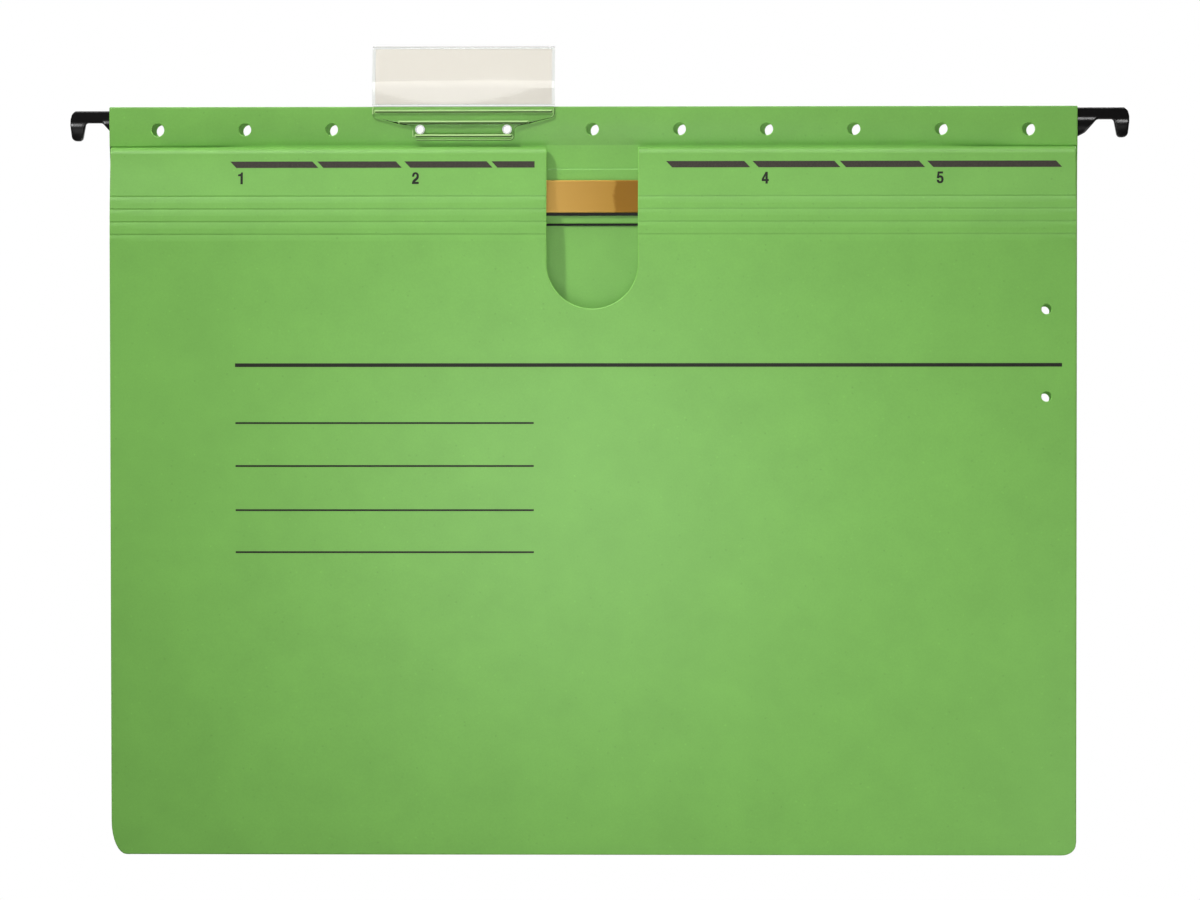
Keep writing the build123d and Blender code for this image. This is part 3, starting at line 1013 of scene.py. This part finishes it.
@dataclass
class RearCover:
    """The rear board sheet, folded over at the top into the hem that holds the rail.

    The hem's front ply is glued as far up as hem_closed and stands out in full from hem_straight, both
    measured down from the hem's top. Near the ends the hooks hold it open further down, which fades over
    held_reach across the sheet and over held_open down it.
    """

    board: float = 0.4
    hem_ply: float = 24.0
    hem_closed: float = 12.6
    hem_straight: float = 6.8
    hem_bend: float = 30.0
    hem_foot_bend: float = 1.0
    hem_top_bend: float = 0.42
    held_open: Flat = (15.4, 11.2)
    held_reach: Flat = (50.0, 4.0)
    left_corner: Flat = (5.0, 11.0)
    right_corner: Flat = (4.6, 3.6)
    tab_hole_r: float = 2.05
    stud_hole_r: float = 1.58
    side_hole_r: float = 1.65
    tab_hole_reach: int = 5
    rear_hole_shift: Flat = (1.4, -0.5)
    side_hole_shift: Flat = (-0.35, -0.9)

    def __post_init__(self) -> None:
        """Take the sheet's place from the frame."""
        self.low, self.high = node_box("rear_cover")
        self.glued_y = node_box("spine_flap")[1].y
        self.tab_low, self.tab_high = node_box("index_tab")
        top = self.high.z
        self.path = SheetPath([
            (self.glued_y, top - self.hem_ply, 0.0),
            (self.glued_y, top - self.hem_closed, self.hem_foot_bend),
            (self.low.y, top - self.hem_straight, self.hem_bend),
            (self.low.y, top, self.hem_top_bend),
            (self.high.y, top, self.hem_top_bend),
            (self.high.y, self.low.z, 0.0)])

    def relief(self, across: float, along: float) -> float:
        """Give how far the hem's front ply stands out at a place, where the hooks hold the hem open.

        Args:
            across: X.
            along: the distance along the path.

        Returns:
            The height over the plain face.
        """
        y, z, heading = self.path.at(along)
        if y > self.glued_y or z > self.high.z - self.hem_top_bend or math.sin(heading) <= 0:
            return 0.0
        gap = min(across - self.low.x, self.high.x - across)
        return (y - self.low.y) * ramp(gap, *self.held_reach) * ramp(self.high.z - z, *self.held_open)

    def tab_holes(self) -> list[Flat]:
        """Give the places of the row of tab holes, X and Z."""
        middle, reach = place_of("tab_position_3"), self.tab_hole_reach
        return [(middle.x + hole_pitch() * (k - 1 / 2), middle.z) for k in range(-reach, reach + 1)]

    def side_holes(self) -> list[Flat]:
        """Give the places of the two side holes, X and Z."""
        side = place_of("side_tab_position")
        return [(side.x, side.z + way * hole_pitch() / 2) for way in (1, -1)]

    def holes(self) -> list[Loop]:
        """Punch the holes of both plies.

        Returns:
            The holes. Where no tab is clipped in, the rear ply's holes lie a little beside the front's.
        """
        loops: list[Loop] = []
        punched: list[tuple[Flat, Flat, float]] = []
        for x, z in self.tab_holes():
            if self.tab_low.x < x < self.tab_high.x:
                x, shift, radius = x + TAB_PLAY, (0.0, 0.0), self.stud_hole_r
            else:
                shift, radius = self.rear_hole_shift, self.tab_hole_r
            loops.append(round_hole((x, self.path.height(z)), radius))
            punched.append(((x, z), shift, radius))
        punched += [(place, self.side_hole_shift, self.side_hole_r) for place in self.side_holes()]
        for (x, z), (right, up), radius in punched:
            loops.append(round_hole((x + right, self.path.height(z + up, rising=False)), radius))
        return loops

    def build(self) -> None:
        """Fold the sheet and dress it."""
        left, right, end = self.low.x, self.high.x, self.path.length
        (right_x, right_z), (left_x, left_z) = self.right_corner, self.left_corner
        outline = [(left, 0.0), (right, 0.0)]
        outline += arc((right - right_x, end - right_z), self.right_corner, 0.0, QUARTER_TURN)
        outline += arc((left + left_x, end - left_z), self.left_corner, QUARTER_TURN, QUARTER_TURN)
        sheet = FoldedSheet(self.path, self.board, relief=self.relief)
        dress(sheet.mesh("rear_sheet", [Blank(outline, self.holes())]), GREEN_BOARD, Body.BACK,
              ["rear_cover"], PALE_EDGE_AND_HIGHLIGHT)


@dataclass
class FrontCover:
    """The front board sheet: glued flap, round spine, scale strips, four creases and the large panel.

    Drops are from the hem's top. The reaches above and below a line bend nothing here; the panel's sag starts one
    bend_reach below the lowest crease. A crease is pressed in over crease_above and crease_below, with mesh rows
    at crease_rows. The panel sags in waves.
    """

    rear: RearCover
    slot_drop: float = 20.4
    cut_drop: float = 66.3
    cut_steps: int = 32
    bend_reach: float = 1.2
    fold_reach: Flat = (0.7, -1.6)
    crease_count: int = 4
    crease_depth: float = 0.22
    crease_above: float = 0.5
    crease_below: float = 1.2
    crease_rows: tuple[float, ...] = (-1.45, -1.2, -0.75, -0.4, -0.2, 0.0, 0.15, 0.3, 0.5, 0.7)
    sag: float = 0.3
    sag_fade: float = 30.0
    sag_waves: tuple[Flat, Flat] = ((41.0, 67.0), (-97.0, 53.0))

    def __post_init__(self) -> None:
        """Take the sheet's place from the frame."""
        panel_low, panel_high = node_box("cover_panel")
        self.left, self.right, self.bottom = panel_low.x, panel_high.x, panel_low.z
        self.cut_left = node_box("scale_strip_left")[1].x
        self.cut_right = node_box("scale_strip_right")[0].x
        self.fold = place_of("cover_fold")
        self.creases = [place_of(f"crease_{i + 1}") for i in range(self.crease_count)]
        self.top = self.rear.high.z
        flap_low, flap_high = node_box("spine_flap")
        spine = (flap_high.y - self.fold.y) / 2
        spine_z = self.fold.z + spine
        lines = [(line.y, line.z, 0.0) for line in (*reversed(self.creases), self.fold)]
        self.path = SheetPath([
            (self.creases[-1].y, self.bottom, 0.0), *lines, (self.fold.y, spine_z, spine),
            (flap_high.y, spine_z, spine), (flap_high.y, flap_low.z, 0.0)])
        self.spine_top = self.path.height(self.fold.z) + spine * QUARTER_TURN
        self.pressed = [self.path.height(crease.z) for crease in self.creases]
        rows = tuple(line + gap for line in self.pressed for gap in self.crease_rows)
        self.sheet = FoldedSheet(self.path, self.rear.board, relief=self.relief, extra_rows=rows)

    def relief(self, across: float, along: float) -> float:
        """Give how far the face stands out at a place: it is pressed in at creases, and sags below them.

        Args:
            across: X.
            along: the distance along the path.

        Returns:
            The height over the plain face, never above it.
        """
        reaches = (-self.crease_below, self.crease_above)
        pressed = sum(min(slope(along - line, reach, 0.0) for reach in reaches) for line in self.pressed)
        fade = slope(self.pressed[-1] - self.bend_reach - along, 0.0, self.sag_fade) ** 2
        wave = math.prod(math.sin(across / wide + along / long) for wide, long in self.sag_waves)
        return -self.crease_depth * pressed - self.sag * fade * (1 + wave) / 2

    def halves(self, low: float, high: float) -> list[Blank]:
        """Cut the strips left and right of the thumb cut between two seams."""
        sides = ((self.left, self.cut_left), (self.cut_right, self.right))
        return [Blank([(a, low), (b, low), (b, high), (a, high)], seams=(low, high)) for a, b in sides]

    def panel(self, top: float) -> Blank:
        """Cut the large panel with the round end of the thumb cut and the side holes.

        Args:
            top: the seam at its top, along the path.

        Returns:
            The blank.
        """
        radius = (self.cut_right - self.cut_left) / 2
        cut_end = (self.cut_left + radius, self.path.height(self.top - self.cut_drop) + radius)
        left, right = self.rear.left_corner, self.rear.right_corner
        outline = arc((self.right - right[0], right[1]), right, -QUARTER_TURN, QUARTER_TURN)
        outline += [(self.right, top), (self.cut_right, top)]
        outline += arc(cut_end, (radius, radius), 0.0, -math.pi, self.cut_steps)
        outline += [(self.cut_left, top), (self.left, top)]
        outline += arc((self.left + left[0], left[1]), left, math.pi, QUARTER_TURN)
        places = [(x, self.path.height(z)) for x, z in self.rear.side_holes()]
        return Blank(outline, [round_hole(place, self.rear.side_hole_r) for place in places], seams=(top,))

    def flap(self) -> Blank:
        """Cut the glued flap with the slot that the thumb cut leaves in it.

        Returns:
            The blank.
        """
        start, end = self.spine_top, self.path.length
        slot = self.path.height(self.top - self.slot_drop, rising=False)
        outline = [(self.left, start), (self.cut_left, start), (self.cut_left, slot), (self.cut_right, slot),
                   (self.cut_right, start), (self.right, start), (self.right, end), (self.left, end)]
        return Blank(outline, seams=(start,))

    def build(self) -> None:
        """Fold each piece of the sheet and dress it; the pieces across the fold and the creases move with no body.
        """
        lines = [self.fold] + self.creases
        heights = [(a.z + b.z) / 2 for a, b in zip(lines, self.creases)]
        heights.append(2 * self.creases[-1].z - heights[-1])
        seams = [self.spine_top] + [self.path.height(z) for z in heights]
        dress(self.sheet.mesh("spine_flap_sheet", [self.flap()]), GREEN_BOARD, Body.BACK,
              ["spine_flap"], GREEN_BOARD)
        strips = ("scale_strip", "crease_strip_upper", "crease_strip_middle", "crease_strip_lower")
        names = ["fold_sheet"] + [f"crease_{i + 1}_sheet" for i in range(self.crease_count)]
        reaches = [self.fold_reach] + [(self.bend_reach, -self.bend_reach)] * len(self.creases)
        for i, (name, place, reach) in enumerate(zip(names, lines, reaches)):
            piece = self.sheet.mesh(name, self.halves(seams[i + 1], seams[i]))
            bent = strips[max(i - 1, 0):i + 1]
            nodes = [f"{strip}_{side}" for strip in bent for side in ("left", "right")]
            dress(piece, GREEN_BOARD, replaces=nodes, rim=PALE_EDGE_AND_HIGHLIGHT)
            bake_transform(piece)
        dress(self.sheet.mesh("cover_panel_sheet", [self.panel(seams[-1])]), GREEN_BOARD, Body.COVER,
              ["cover_panel"], PALE_EDGE_AND_HIGHLIGHT)


# The digits of the index scale, an outline and its holes each, as shares of their height.
DIGIT_SHARES: dict[str, tuple[Loop, ...]] = {
    "1": ([(0.22, 0.0), (0.385, 0.0), (0.385, 1.0), (0.27, 1.0), (0.24, 0.91), (0.16, 0.85),
           (0.01, 0.82), (0.01, 0.705), (0.22, 0.705)],),
    "2": ([(0.0, 0.0), (0.55, 0.0), (0.55, 0.15), (0.22, 0.15), (0.27, 0.22), (0.37, 0.31), (0.48, 0.42),
           (0.545, 0.54), (0.56, 0.69), (0.53, 0.84), (0.43, 0.955), (0.285, 1.0), (0.14, 0.965),
           (0.05, 0.87), (0.015, 0.73), (0.01, 0.64), (0.16, 0.64), (0.17, 0.73), (0.205, 0.83),
           (0.285, 0.87), (0.365, 0.835), (0.4, 0.74), (0.39, 0.61), (0.335, 0.52), (0.235, 0.43),
           (0.1, 0.31), (0.02, 0.16)],),
    "4": ([(0.32, 0.0), (0.475, 0.0), (0.475, 0.215), (0.57, 0.215), (0.57, 0.36), (0.475, 0.36),
           (0.475, 1.0), (0.33, 1.0), (0.0, 0.38), (0.0, 0.215), (0.32, 0.215)],
          [(0.32, 0.36), (0.13, 0.36), (0.32, 0.74)]),
    "5": ([(0.0, 0.27), (0.15, 0.27), (0.18, 0.175), (0.27, 0.13), (0.365, 0.175), (0.405, 0.31),
           (0.385, 0.44), (0.285, 0.525), (0.195, 0.5), (0.155, 0.445), (0.015, 0.455), (0.09, 1.0),
           (0.51, 1.0), (0.51, 0.86), (0.205, 0.86), (0.175, 0.63), (0.25, 0.66), (0.33, 0.665),
           (0.455, 0.615), (0.535, 0.495), (0.56, 0.33), (0.525, 0.155), (0.425, 0.04), (0.275, 0.0),
           (0.13, 0.025), (0.04, 0.11)],)}


@dataclass
class IndexPrint:
    """The marks printed on the cover: the scale for the tabs, and ruled lines to write on.

    Places across are from the middle of the sheet, and drops are from the hem's top. The ink's film stands
    proud of the board by ink, and reaches ink_hold into it.
    """

    cover: FrontCover
    ink: float = 0.03
    ink_hold: float = 0.05
    bar_drops: Flat = (20.1, 18.0)
    bar_slant: float = 2.0
    left_bars: tuple[Flat, ...] = ((-118.9, -89.9), (-90.3, -62.5), (-61.7, -32.7), (-33.1, -18.9))
    right_bars: tuple[Flat, ...] = ((24.2, 51.8), (52.5, 81.3), (81.1, 109.0), (109.7, 153.8))
    digits: tuple[tuple[str, float], ...] = (("1", -115.5), ("2", -58.0), ("4", 56.7), ("5", 113.9))
    digit_height: float = 3.8
    digit_drop: float = 23.5
    digit_spread: float = 0.08
    long_rule: Flat = (-117.3, 153.7)
    long_rule_drop: float = 84.8
    long_rule_width: float = 1.2
    short_rule: Flat = (-117.2, -19.2)
    short_rule_drops: tuple[float, ...] = (103.8, 117.9, 132.4, 146.2)
    short_rule_width: float = 0.6

    def __post_init__(self) -> None:
        """Lay the ink on the cover's face."""
        self.middle = (self.cover.left + self.cover.right) / 2
        self.film = FoldedSheet(self.cover.path, self.ink + self.ink_hold, eased=(0.0, 0.0), lift=self.ink,
                                relief=self.cover.relief)

    def along(self, drop: float) -> float:
        """Turn a drop into a distance along the cover's path."""
        return self.cover.path.height(self.cover.top - drop)

    def mark(self, span: Flat, drops: Flat, slants: Flat = (0.0, 0.0)) -> Blank:
        """Draw a bar or a ruled line.

        Args:
            span: its left and right ends.
            drops: its lower and upper edges.
            slants: how far its left end leans at the bottom, and its right end at the top.

        Returns:
            The blank.
        """
        left, right = (self.middle + x for x in span)
        low, high = (self.along(drop) for drop in drops)
        return Blank([(left + slants[0], low), (right, low), (right - slants[1], high), (left, high)])

    def bar(self, span: Flat) -> Blank:
        """Draw one bar of the scale, slanted at both ends but not beside the thumb cut."""
        right_slant = 0.0 if span == self.left_bars[-1] else self.bar_slant
        return self.mark(span, self.bar_drops, (self.bar_slant, right_slant))

    def rule(self, span: Flat, drop: float, width: float) -> Blank:
        """Draw one ruled line."""
        return self.mark(span, (drop + width / 2, drop - width / 2))

    def digit(self, text: str, x: float) -> Blank:
        """Draw one digit of the scale.

        Args:
            text: the digit.
            x: its middle.

        Returns:
            The blank.
        """
        left = self.middle + x - max(u for u, _ in DIGIT_SHARES[text][0]) / 2 * self.digit_height
        low = self.along(self.digit_drop) - self.digit_height / 2
        loops: list[Loop] = []
        for shares in DIGIT_SHARES[text]:
            loop = [(left + u * self.digit_height, low + v * self.digit_height) for u, v in shares]
            loops.append(inset_loop(turned(loop, not loops), -self.digit_spread))
        return Blank(loops[0], loops[1:])

    def build(self) -> None:
        """Print the marks and let each move with the board under it."""
        dress(self.film.mesh("scale_bars", [self.bar(span) for span in self.left_bars + self.right_bars]),
              DARK_INK, Body.SCALE)
        for text, x in self.digits:
            dress(self.film.mesh(f"scale_digit_{text}", [self.digit(text, x)]), BLACK_INK, Body.SCALE)
        rules = [self.rule(self.long_rule, self.long_rule_drop, self.long_rule_width)]
        rules += [self.rule(self.short_rule, drop, self.short_rule_width) for drop in self.short_rule_drops]
        dress(self.film.mesh("ruled_lines", rules), BLACK_INK, Body.COVER)


@dataclass
class HangerRail:
    """The steel strip in the hem with a moulded hook at each end.

    A hook's outline is drawn from its outer end inwards. It is thin along its arm, and thicker at its tip
    and at the gusset that runs into the hem, with a sloping ledge above each. A pair says where a change
    starts and where it is complete: by height for the ledges, the swell and the foot, and by the distance
    from the outer end for the tip, the gusset and the root.
    """

    rail_edge: float = 0.08
    outline: tuple[Triple, ...] = (
        (0.0, 1.2, 3.0), (0.5, 3.0, 1.6), (1.6, 4.0, 0.9), (24.0, 4.0, 0.0), (24.0, -5.6, 0.0),
        (17.0, -5.6, 1.2), (14.5, -4.3, 4.0), (10.7, 0.0, 1.4), (5.3, 0.0, 0.9), (4.1, -5.9, 1.3),
        (0.7, -5.9, 1.8), (0.0, -0.6, 6.0))
    rings: tuple[float, ...] = (0.06, 0.15, 0.28, 0.45)
    grid: float = 0.4
    grid_gap_share: float = 1 / 3
    rim_step: float = 0.8
    rim_columns: range = range(1, 30)
    rim_rows: range = range(-6, 5)
    arm_half: float = 0.58
    ledge_half: float = 1.05
    tip_half: float = 1.5
    tip_ledge: Flat = (0.1, -1.1)
    tip_swell: Flat = (-0.7, -4.0)
    tip_reach: Flat = (5.6, 4.2)
    tip_crown: float = 0.12
    gusset_ledge: Flat = (0.9, -0.3)
    gusset_reach: Flat = (9.8, 11.4)
    foot_draft: float = 0.4
    foot_reach: Flat = (-1.6, -4.2)
    root_half: float = 0.4
    root_reach: Flat = (17.2, 21.0)
    rises: tuple[tuple[str, float], ...] = (("left", -0.3), ("right", 0.5))

    def half(self, inset: float, z: float) -> float:
        """Give half the hook's thickness at a place.

        Args:
            inset: the distance from the outer end.
            z: the height.

        Returns:
            Half the thickness there, away from the edges.
        """
        at_tip, at_gusset = ramp(inset, *self.tip_reach), ramp(inset, *self.gusset_reach)
        gusset = slope(z, *self.gusset_ledge)
        ledge = slope(z, *self.tip_ledge) * at_tip + gusset * at_gusset
        middle = self.tip_reach[0] / 2
        crown = self.tip_crown * min(1.0, ((inset - middle) / middle) ** 2)
        swell = (self.tip_half - self.ledge_half - crown) * ramp(z, *self.tip_swell) * at_tip
        draft = self.foot_draft * ramp(z, *self.foot_reach) * at_gusset
        half = self.arm_half + (self.ledge_half - self.arm_half) * ledge + swell - draft
        return half + (self.root_half - half) * ramp(inset, *self.root_reach) * gusset

    def round_off(self, gap: float) -> float:
        """Give how much thinner the hook is, so near its rim, where its edges are rounded."""
        reach = self.rings[-1]
        return reach * (1 - math.sqrt(1 - slope(gap, reach, 0.0) ** 2))

    def hook(self, side: str, rise: float) -> Piece:
        """Mould one hook.

        Args:
            side: left or right.
            rise: how far the rail's play in the hem lifts it.

        Returns:
            The piece.
        """
        low, high = node_box(f"{side}_hook")
        outer, way = (low.x, 1) if side == "left" else (high.x, -1)
        marks = ([self.rim_step * i for i in numbers] for numbers in (self.rim_columns, self.rim_rows))
        rim = turned(split_loop(rounded(self.outline), *marks), True)
        loops = [rim] + [inset_loop(rim, ring) for ring in self.rings]
        columns, rows = (range(int(reach / self.grid) + 1) for reach in (high.x - low.x, high.z - low.z))
        grid = ((i * self.grid, low.z + k * self.grid) for i in columns for k in rows)
        gap = self.grid * self.grid_gap_share
        places, cells, owns = fill(loops, clear_spots(grid, loops[-1:], gap), [rim])
        halves = [self.half(x, z) - self.round_off(edge_distance((x, z), [rim])) for x, z in places]
        skins = ([Vector((outer + way * place.x, face * half, place.y + rise))
                  for place, half in zip(places, halves)] for face in (-1, 1))
        shape = bmesh.new()
        faces = add_faces(shape, *skins, cells)
        add_walls(shape, [[verts[i] for i in owns[0]] for verts in faces])
        bmesh.ops.recalc_face_normals(shape, faces=shape.faces)
        return mesh_object(f"{side}_hook_moulding", shape, MOULD_SHARP_DEG)

    def build(self) -> None:
        """Soften the strip, mould the hooks, and dress them."""
        rail = softened("carrier_rail", "rail_strip", self.rail_edge)
        dress(rail, RAIL_STEEL, Body.RAIL, ["carrier_rail"])
        for side, rise in self.rises:
            dress(self.hook(side, rise), BLACK_PLASTIC, Body.RAIL, [f"{side}_hook"])


@dataclass
class Fastener:
    """The two-prong paper fastener behind the cover: its nodes, with a name, an edge and a finish each."""

    # The black prong and backing strips are partly painted shade: their edges below the gold bar and the flap
    # stand in for the dark lines of shade in the crevices there.
    strips: tuple[tuple[str, str, float, Finish], ...] = (
        ("compressor_bar", "compressor_strip", 0.16, GOLD_STEEL),
        ("prong_strip", "prong_steel", 0.06, BLACK_STEEL_AND_CREVICE_SHADE),
        ("backing_strip", "backing_fibre", 0.08, BLACK_FIBRE_AND_CREVICE_SHADE))

    def build(self) -> None:
        """Soften the strips and dress them."""
        for node, name, edge, finish in self.strips:
            dress(softened(node, name, edge), finish, Body.BACK, [node])


@dataclass
class IndexTab:
    """The clear tab that clips into the hem, with its paper label.

    The flange's rounded edges and its flat front are told apart by how far their normals face the front.
    """

    tab_edge: float = 0.28
    label_edge: float = 0.04
    label_steps: int = 1
    edge_facing: float = 0.3
    flat_facing: float = 0.99
    rims: Flat = (0.16, 0.14)
    stud_clear: float = 2.6
    clear, lit, dark = range(3)  # the numbers of the tab's materials: clear, painted highlight, painted shadow

    def __post_init__(self) -> None:
        """Take the tab's place from the frame."""
        low, high = node_box("index_tab")
        self.middle = (low.x + high.x) / 2
        self.stud_z = place_of("tab_position_3").z
        self.flange_top = node_box("rear_cover")[1].z

    def build(self) -> None:
        """Soften the tab and the label, and dress them."""
        tab = softened("index_tab", "tab_moulding", self.tab_edge)
        dress(tab, CLEAR_PLASTIC, Body.TAB, ["index_tab"])
        self.edge(tab)
        label = softened("tab_label", "label_slip", self.label_edge, self.label_steps)
        dress(label, IVORY_PAPER, Body.LABEL, ["tab_label"])
        for piece in (tab, label):
            piece.data.transform(Matrix.Translation((TAB_PLAY * MM, 0.0, 0.0)))

    def edge(self, tab: Piece) -> None:
        """Paint light on the flange's front edges: a painted highlight where they face up or left, painted shadow
        on the other sides.

        Args:
            tab: the moulding.
        """
        for finish in (PAINTED_HIGHLIGHT_EDGE, PAINTED_SHADOW_EDGE):
            tab.data.materials.append(finish.material())
        shape = bmesh.new()
        shape.from_mesh(tab.data)
        flange = [face for face in shape.faces if face.calc_center_median().z < self.flange_top * MM]
        front = [face for face in flange if face.normal.y < -self.flat_facing]
        for face in flange:
            light = face.normal.z - face.normal.x
            if -self.flat_facing < face.normal.y < -self.edge_facing and abs(light) > self.edge_facing:
                face.material_index = self.lit if light > 0 else self.dark
        # Thin rims round the flat front: painted shadow outside and painted highlight inside beside painted
        # shadow, and painted highlight beside painted highlight.
        for width in self.rims:
            rim = bmesh.ops.inset_region(shape, faces=front, thickness=width * MM, use_even_offset=False,
                                         use_boundary=True)["faces"]
            known = set(front) | set(rim)
            for face in rim:
                outer = {other.material_index for line in face.edges for other in line.link_faces
                         if other not in known}
                dark = self.dark in outer
                shown = self.dark if dark and width == self.rims[0] else self.lit
                edged = (dark or self.lit in outer) and not self.near_stud(face.calc_center_median())
                face.material_index = shown if edged else self.clear
        shape.to_mesh(tab.data)
        shape.free()

    def near_stud(self, place: Vector) -> bool:
        """Tell whether a place of the flange, in metres, lies beside one of the two studs."""
        across = abs(place.x / MM - self.middle) - hole_pitch() / 2
        return math.hypot(across, place.z / MM - self.stud_z) < self.stud_clear


@dataclass
class Lamp:
    """A soft lamp: where it stands from the middle of the cover, its size and its power."""

    name: str
    place: Triple
    size: float
    power: float
    casts_shadow: bool = True
    height: Optional[float] = None
    sheen_only: bool = False

    def build(self, aim: Vector) -> None:
        """Hang the lamp and turn it towards a point.

        Args:
            aim: the point, in metres.
        """
        light = bpy.data.lights.new(self.name, "AREA")
        light.shape = "ELLIPSE"
        light.size, light.size_y = self.size, self.height or self.size
        light.energy = self.power
        light.use_shadow = self.casts_shadow
        lamp = scene_object(self.name, light)
        lamp.location = aim + Vector(self.place)
        lamp.rotation_euler = (-Vector(self.place)).to_track_quat("-Z", "Y").to_euler()
        lamp.visible_camera = False
        lamp.visible_diffuse = not self.sheen_only


@dataclass
class Studio:
    """The plain white studio, and the camera at the photograph's angle."""

    sensor: float = 36.0
    frame_width: float = 393.9
    distance: float = 2000.0
    sight_end: float = 100000.0
    azimuth_deg: float = 1.5
    elevation_deg: float = 1.7
    roll_deg: float = -0.055
    aim: Triple = (0.45, -5.0, -107.75)
    ambient: float = 0.04
    backdrop_edge: float = 0.25
    floor_z: float = -420.0
    floor_reach: float = 900.0
    floor_steps: int = 64
    floor_fade_shares: Flat = (0.35, 0.95)
    floor_lit_colour: str = "#6A6A6A"
    floor_seen_colour: str = "#F4F4F2"
    lamps: tuple[Lamp, ...] = (
        Lamp("key_lamp", (-0.411, -0.564, 0.716), 0.1, 5.4),
        Lamp("front_lamp", (-0.015, -0.25, -0.02), 0.12, 0.265, casts_shadow=False),
        Lamp("right_lamp", (0.265, -0.258, -0.144), 0.16, 0.3, casts_shadow=False),
        Lamp("top_lamp", (0.0, -0.2, 0.72), 0.3, 1.6),
        Lamp("hook_lamp", (0.22, -0.63, 0.72), 0.12, 2.0, casts_shadow=False, sheen_only=True),
        Lamp("tab_lamp", (-0.084, -0.8, 0.41), 0.16, 0.45, casts_shadow=False, height=0.6),
        Lamp("back_lamp", (0.5, 0.9, 0.7), 0.8, 14.0))

    def camera(self) -> None:
        """Stand the camera where the photograph was taken from."""
        lens = bpy.data.cameras.new("photo_camera")
        lens.sensor_width = self.sensor
        lens.lens = self.sensor * self.distance / self.frame_width
        lens.clip_end = self.sight_end * MM
        camera = scene_object("photo_camera", lens)
        turn, lift, roll = map(math.radians, (self.azimuth_deg, self.elevation_deg, self.roll_deg))
        out = Vector((math.sin(turn) * math.cos(lift), -math.cos(turn) * math.cos(lift), math.sin(lift)))
        camera.location = (Vector(self.aim) + out * self.distance) * MM
        view = (-out).to_track_quat("-Z", "Y") @ Euler((0.0, 0.0, roll)).to_quaternion()
        camera.rotation_euler = view.to_euler()
        bpy.context.scene.camera = camera

    def world(self) -> None:
        """Light the scene evenly, and stand a white backdrop behind it.

        The camera sees white all round. Mirrored and clear surfaces see it behind the folder, and the dim
        room in front.
        """
        world = bpy.data.worlds.new("white_studio")
        bpy.context.scene.world = world
        graph = Graph(world, "ShaderNodeOutputWorld")
        depth = graph.axis(graph.place_by("Generated"), "Y")
        behind = graph.grade(depth, (-self.backdrop_edge, self.backdrop_edge), smooth=True)
        backdrop = graph.calc("MULTIPLY", graph.mirrored(), behind)
        seen = graph.calc("MAXIMUM", backdrop, graph.ray("Is Camera Ray"))
        level = graph.grade(seen, target=(self.ambient, 1.0))
        graph.show(graph.add("ShaderNodeBackground", {"Color": linear(WHITE), "Strength": level}))

    def floor(self) -> None:
        """Lay a pale floor that fades into the white round it."""
        shape = bmesh.new()
        bmesh.ops.create_circle(shape, cap_ends=True, segments=self.floor_steps,
                                radius=self.floor_reach * MM)
        floor = mesh_object("studio_floor", shape)
        floor.location.z = self.floor_z * MM
        material = bpy.data.materials.new("pale_floor")
        graph = Graph(material, "ShaderNodeOutputMaterial")
        reach = graph.add("ShaderNodeVectorMath", {0: graph.place_by("Object")}, operation="LENGTH")
        near, far = (share * self.floor_reach * MM for share in self.floor_fade_shares)
        fade = graph.grade(reach.outputs["Value"], (near, far), smooth=True)
        seen = graph.calc("MAXIMUM", graph.ray("Is Camera Ray"), graph.mirrored())
        tone = graph.mix(seen, linear(self.floor_lit_colour), linear(self.floor_seen_colour))
        paint = graph.add("ShaderNodeBsdfDiffuse", {"Color": tone})
        white = graph.add("ShaderNodeEmission", {"Color": linear(WHITE), "Strength": 1.0})
        graph.show(graph.mix_shaders(graph.calc("MULTIPLY", fade, seen), paint, white))
        floor.data.materials.append(material)

    def build(self) -> None:
        """Set up camera, lamps, world and floor."""
        bpy.context.scene.view_settings.view_transform = "Standard"
        self.camera()
        self.world()
        self.floor()
        for lamp in self.lamps:
            lamp.build(Vector(self.aim) * MM)


def main() -> None:
    """Build the folder's pieces in order, then the studio."""
    logging.basicConfig(level=logging.INFO, format="%(name)s: %(message)s")
    rear = RearCover()
    cover = FrontCover(rear)
    for part in (rear, cover, IndexPrint(cover), HangerRail(), Fastener(), IndexTab(), Studio()):
        LOG.info("building %s", type(part).__name__)
        part.build()


if __name__ == "__main__":
    main()
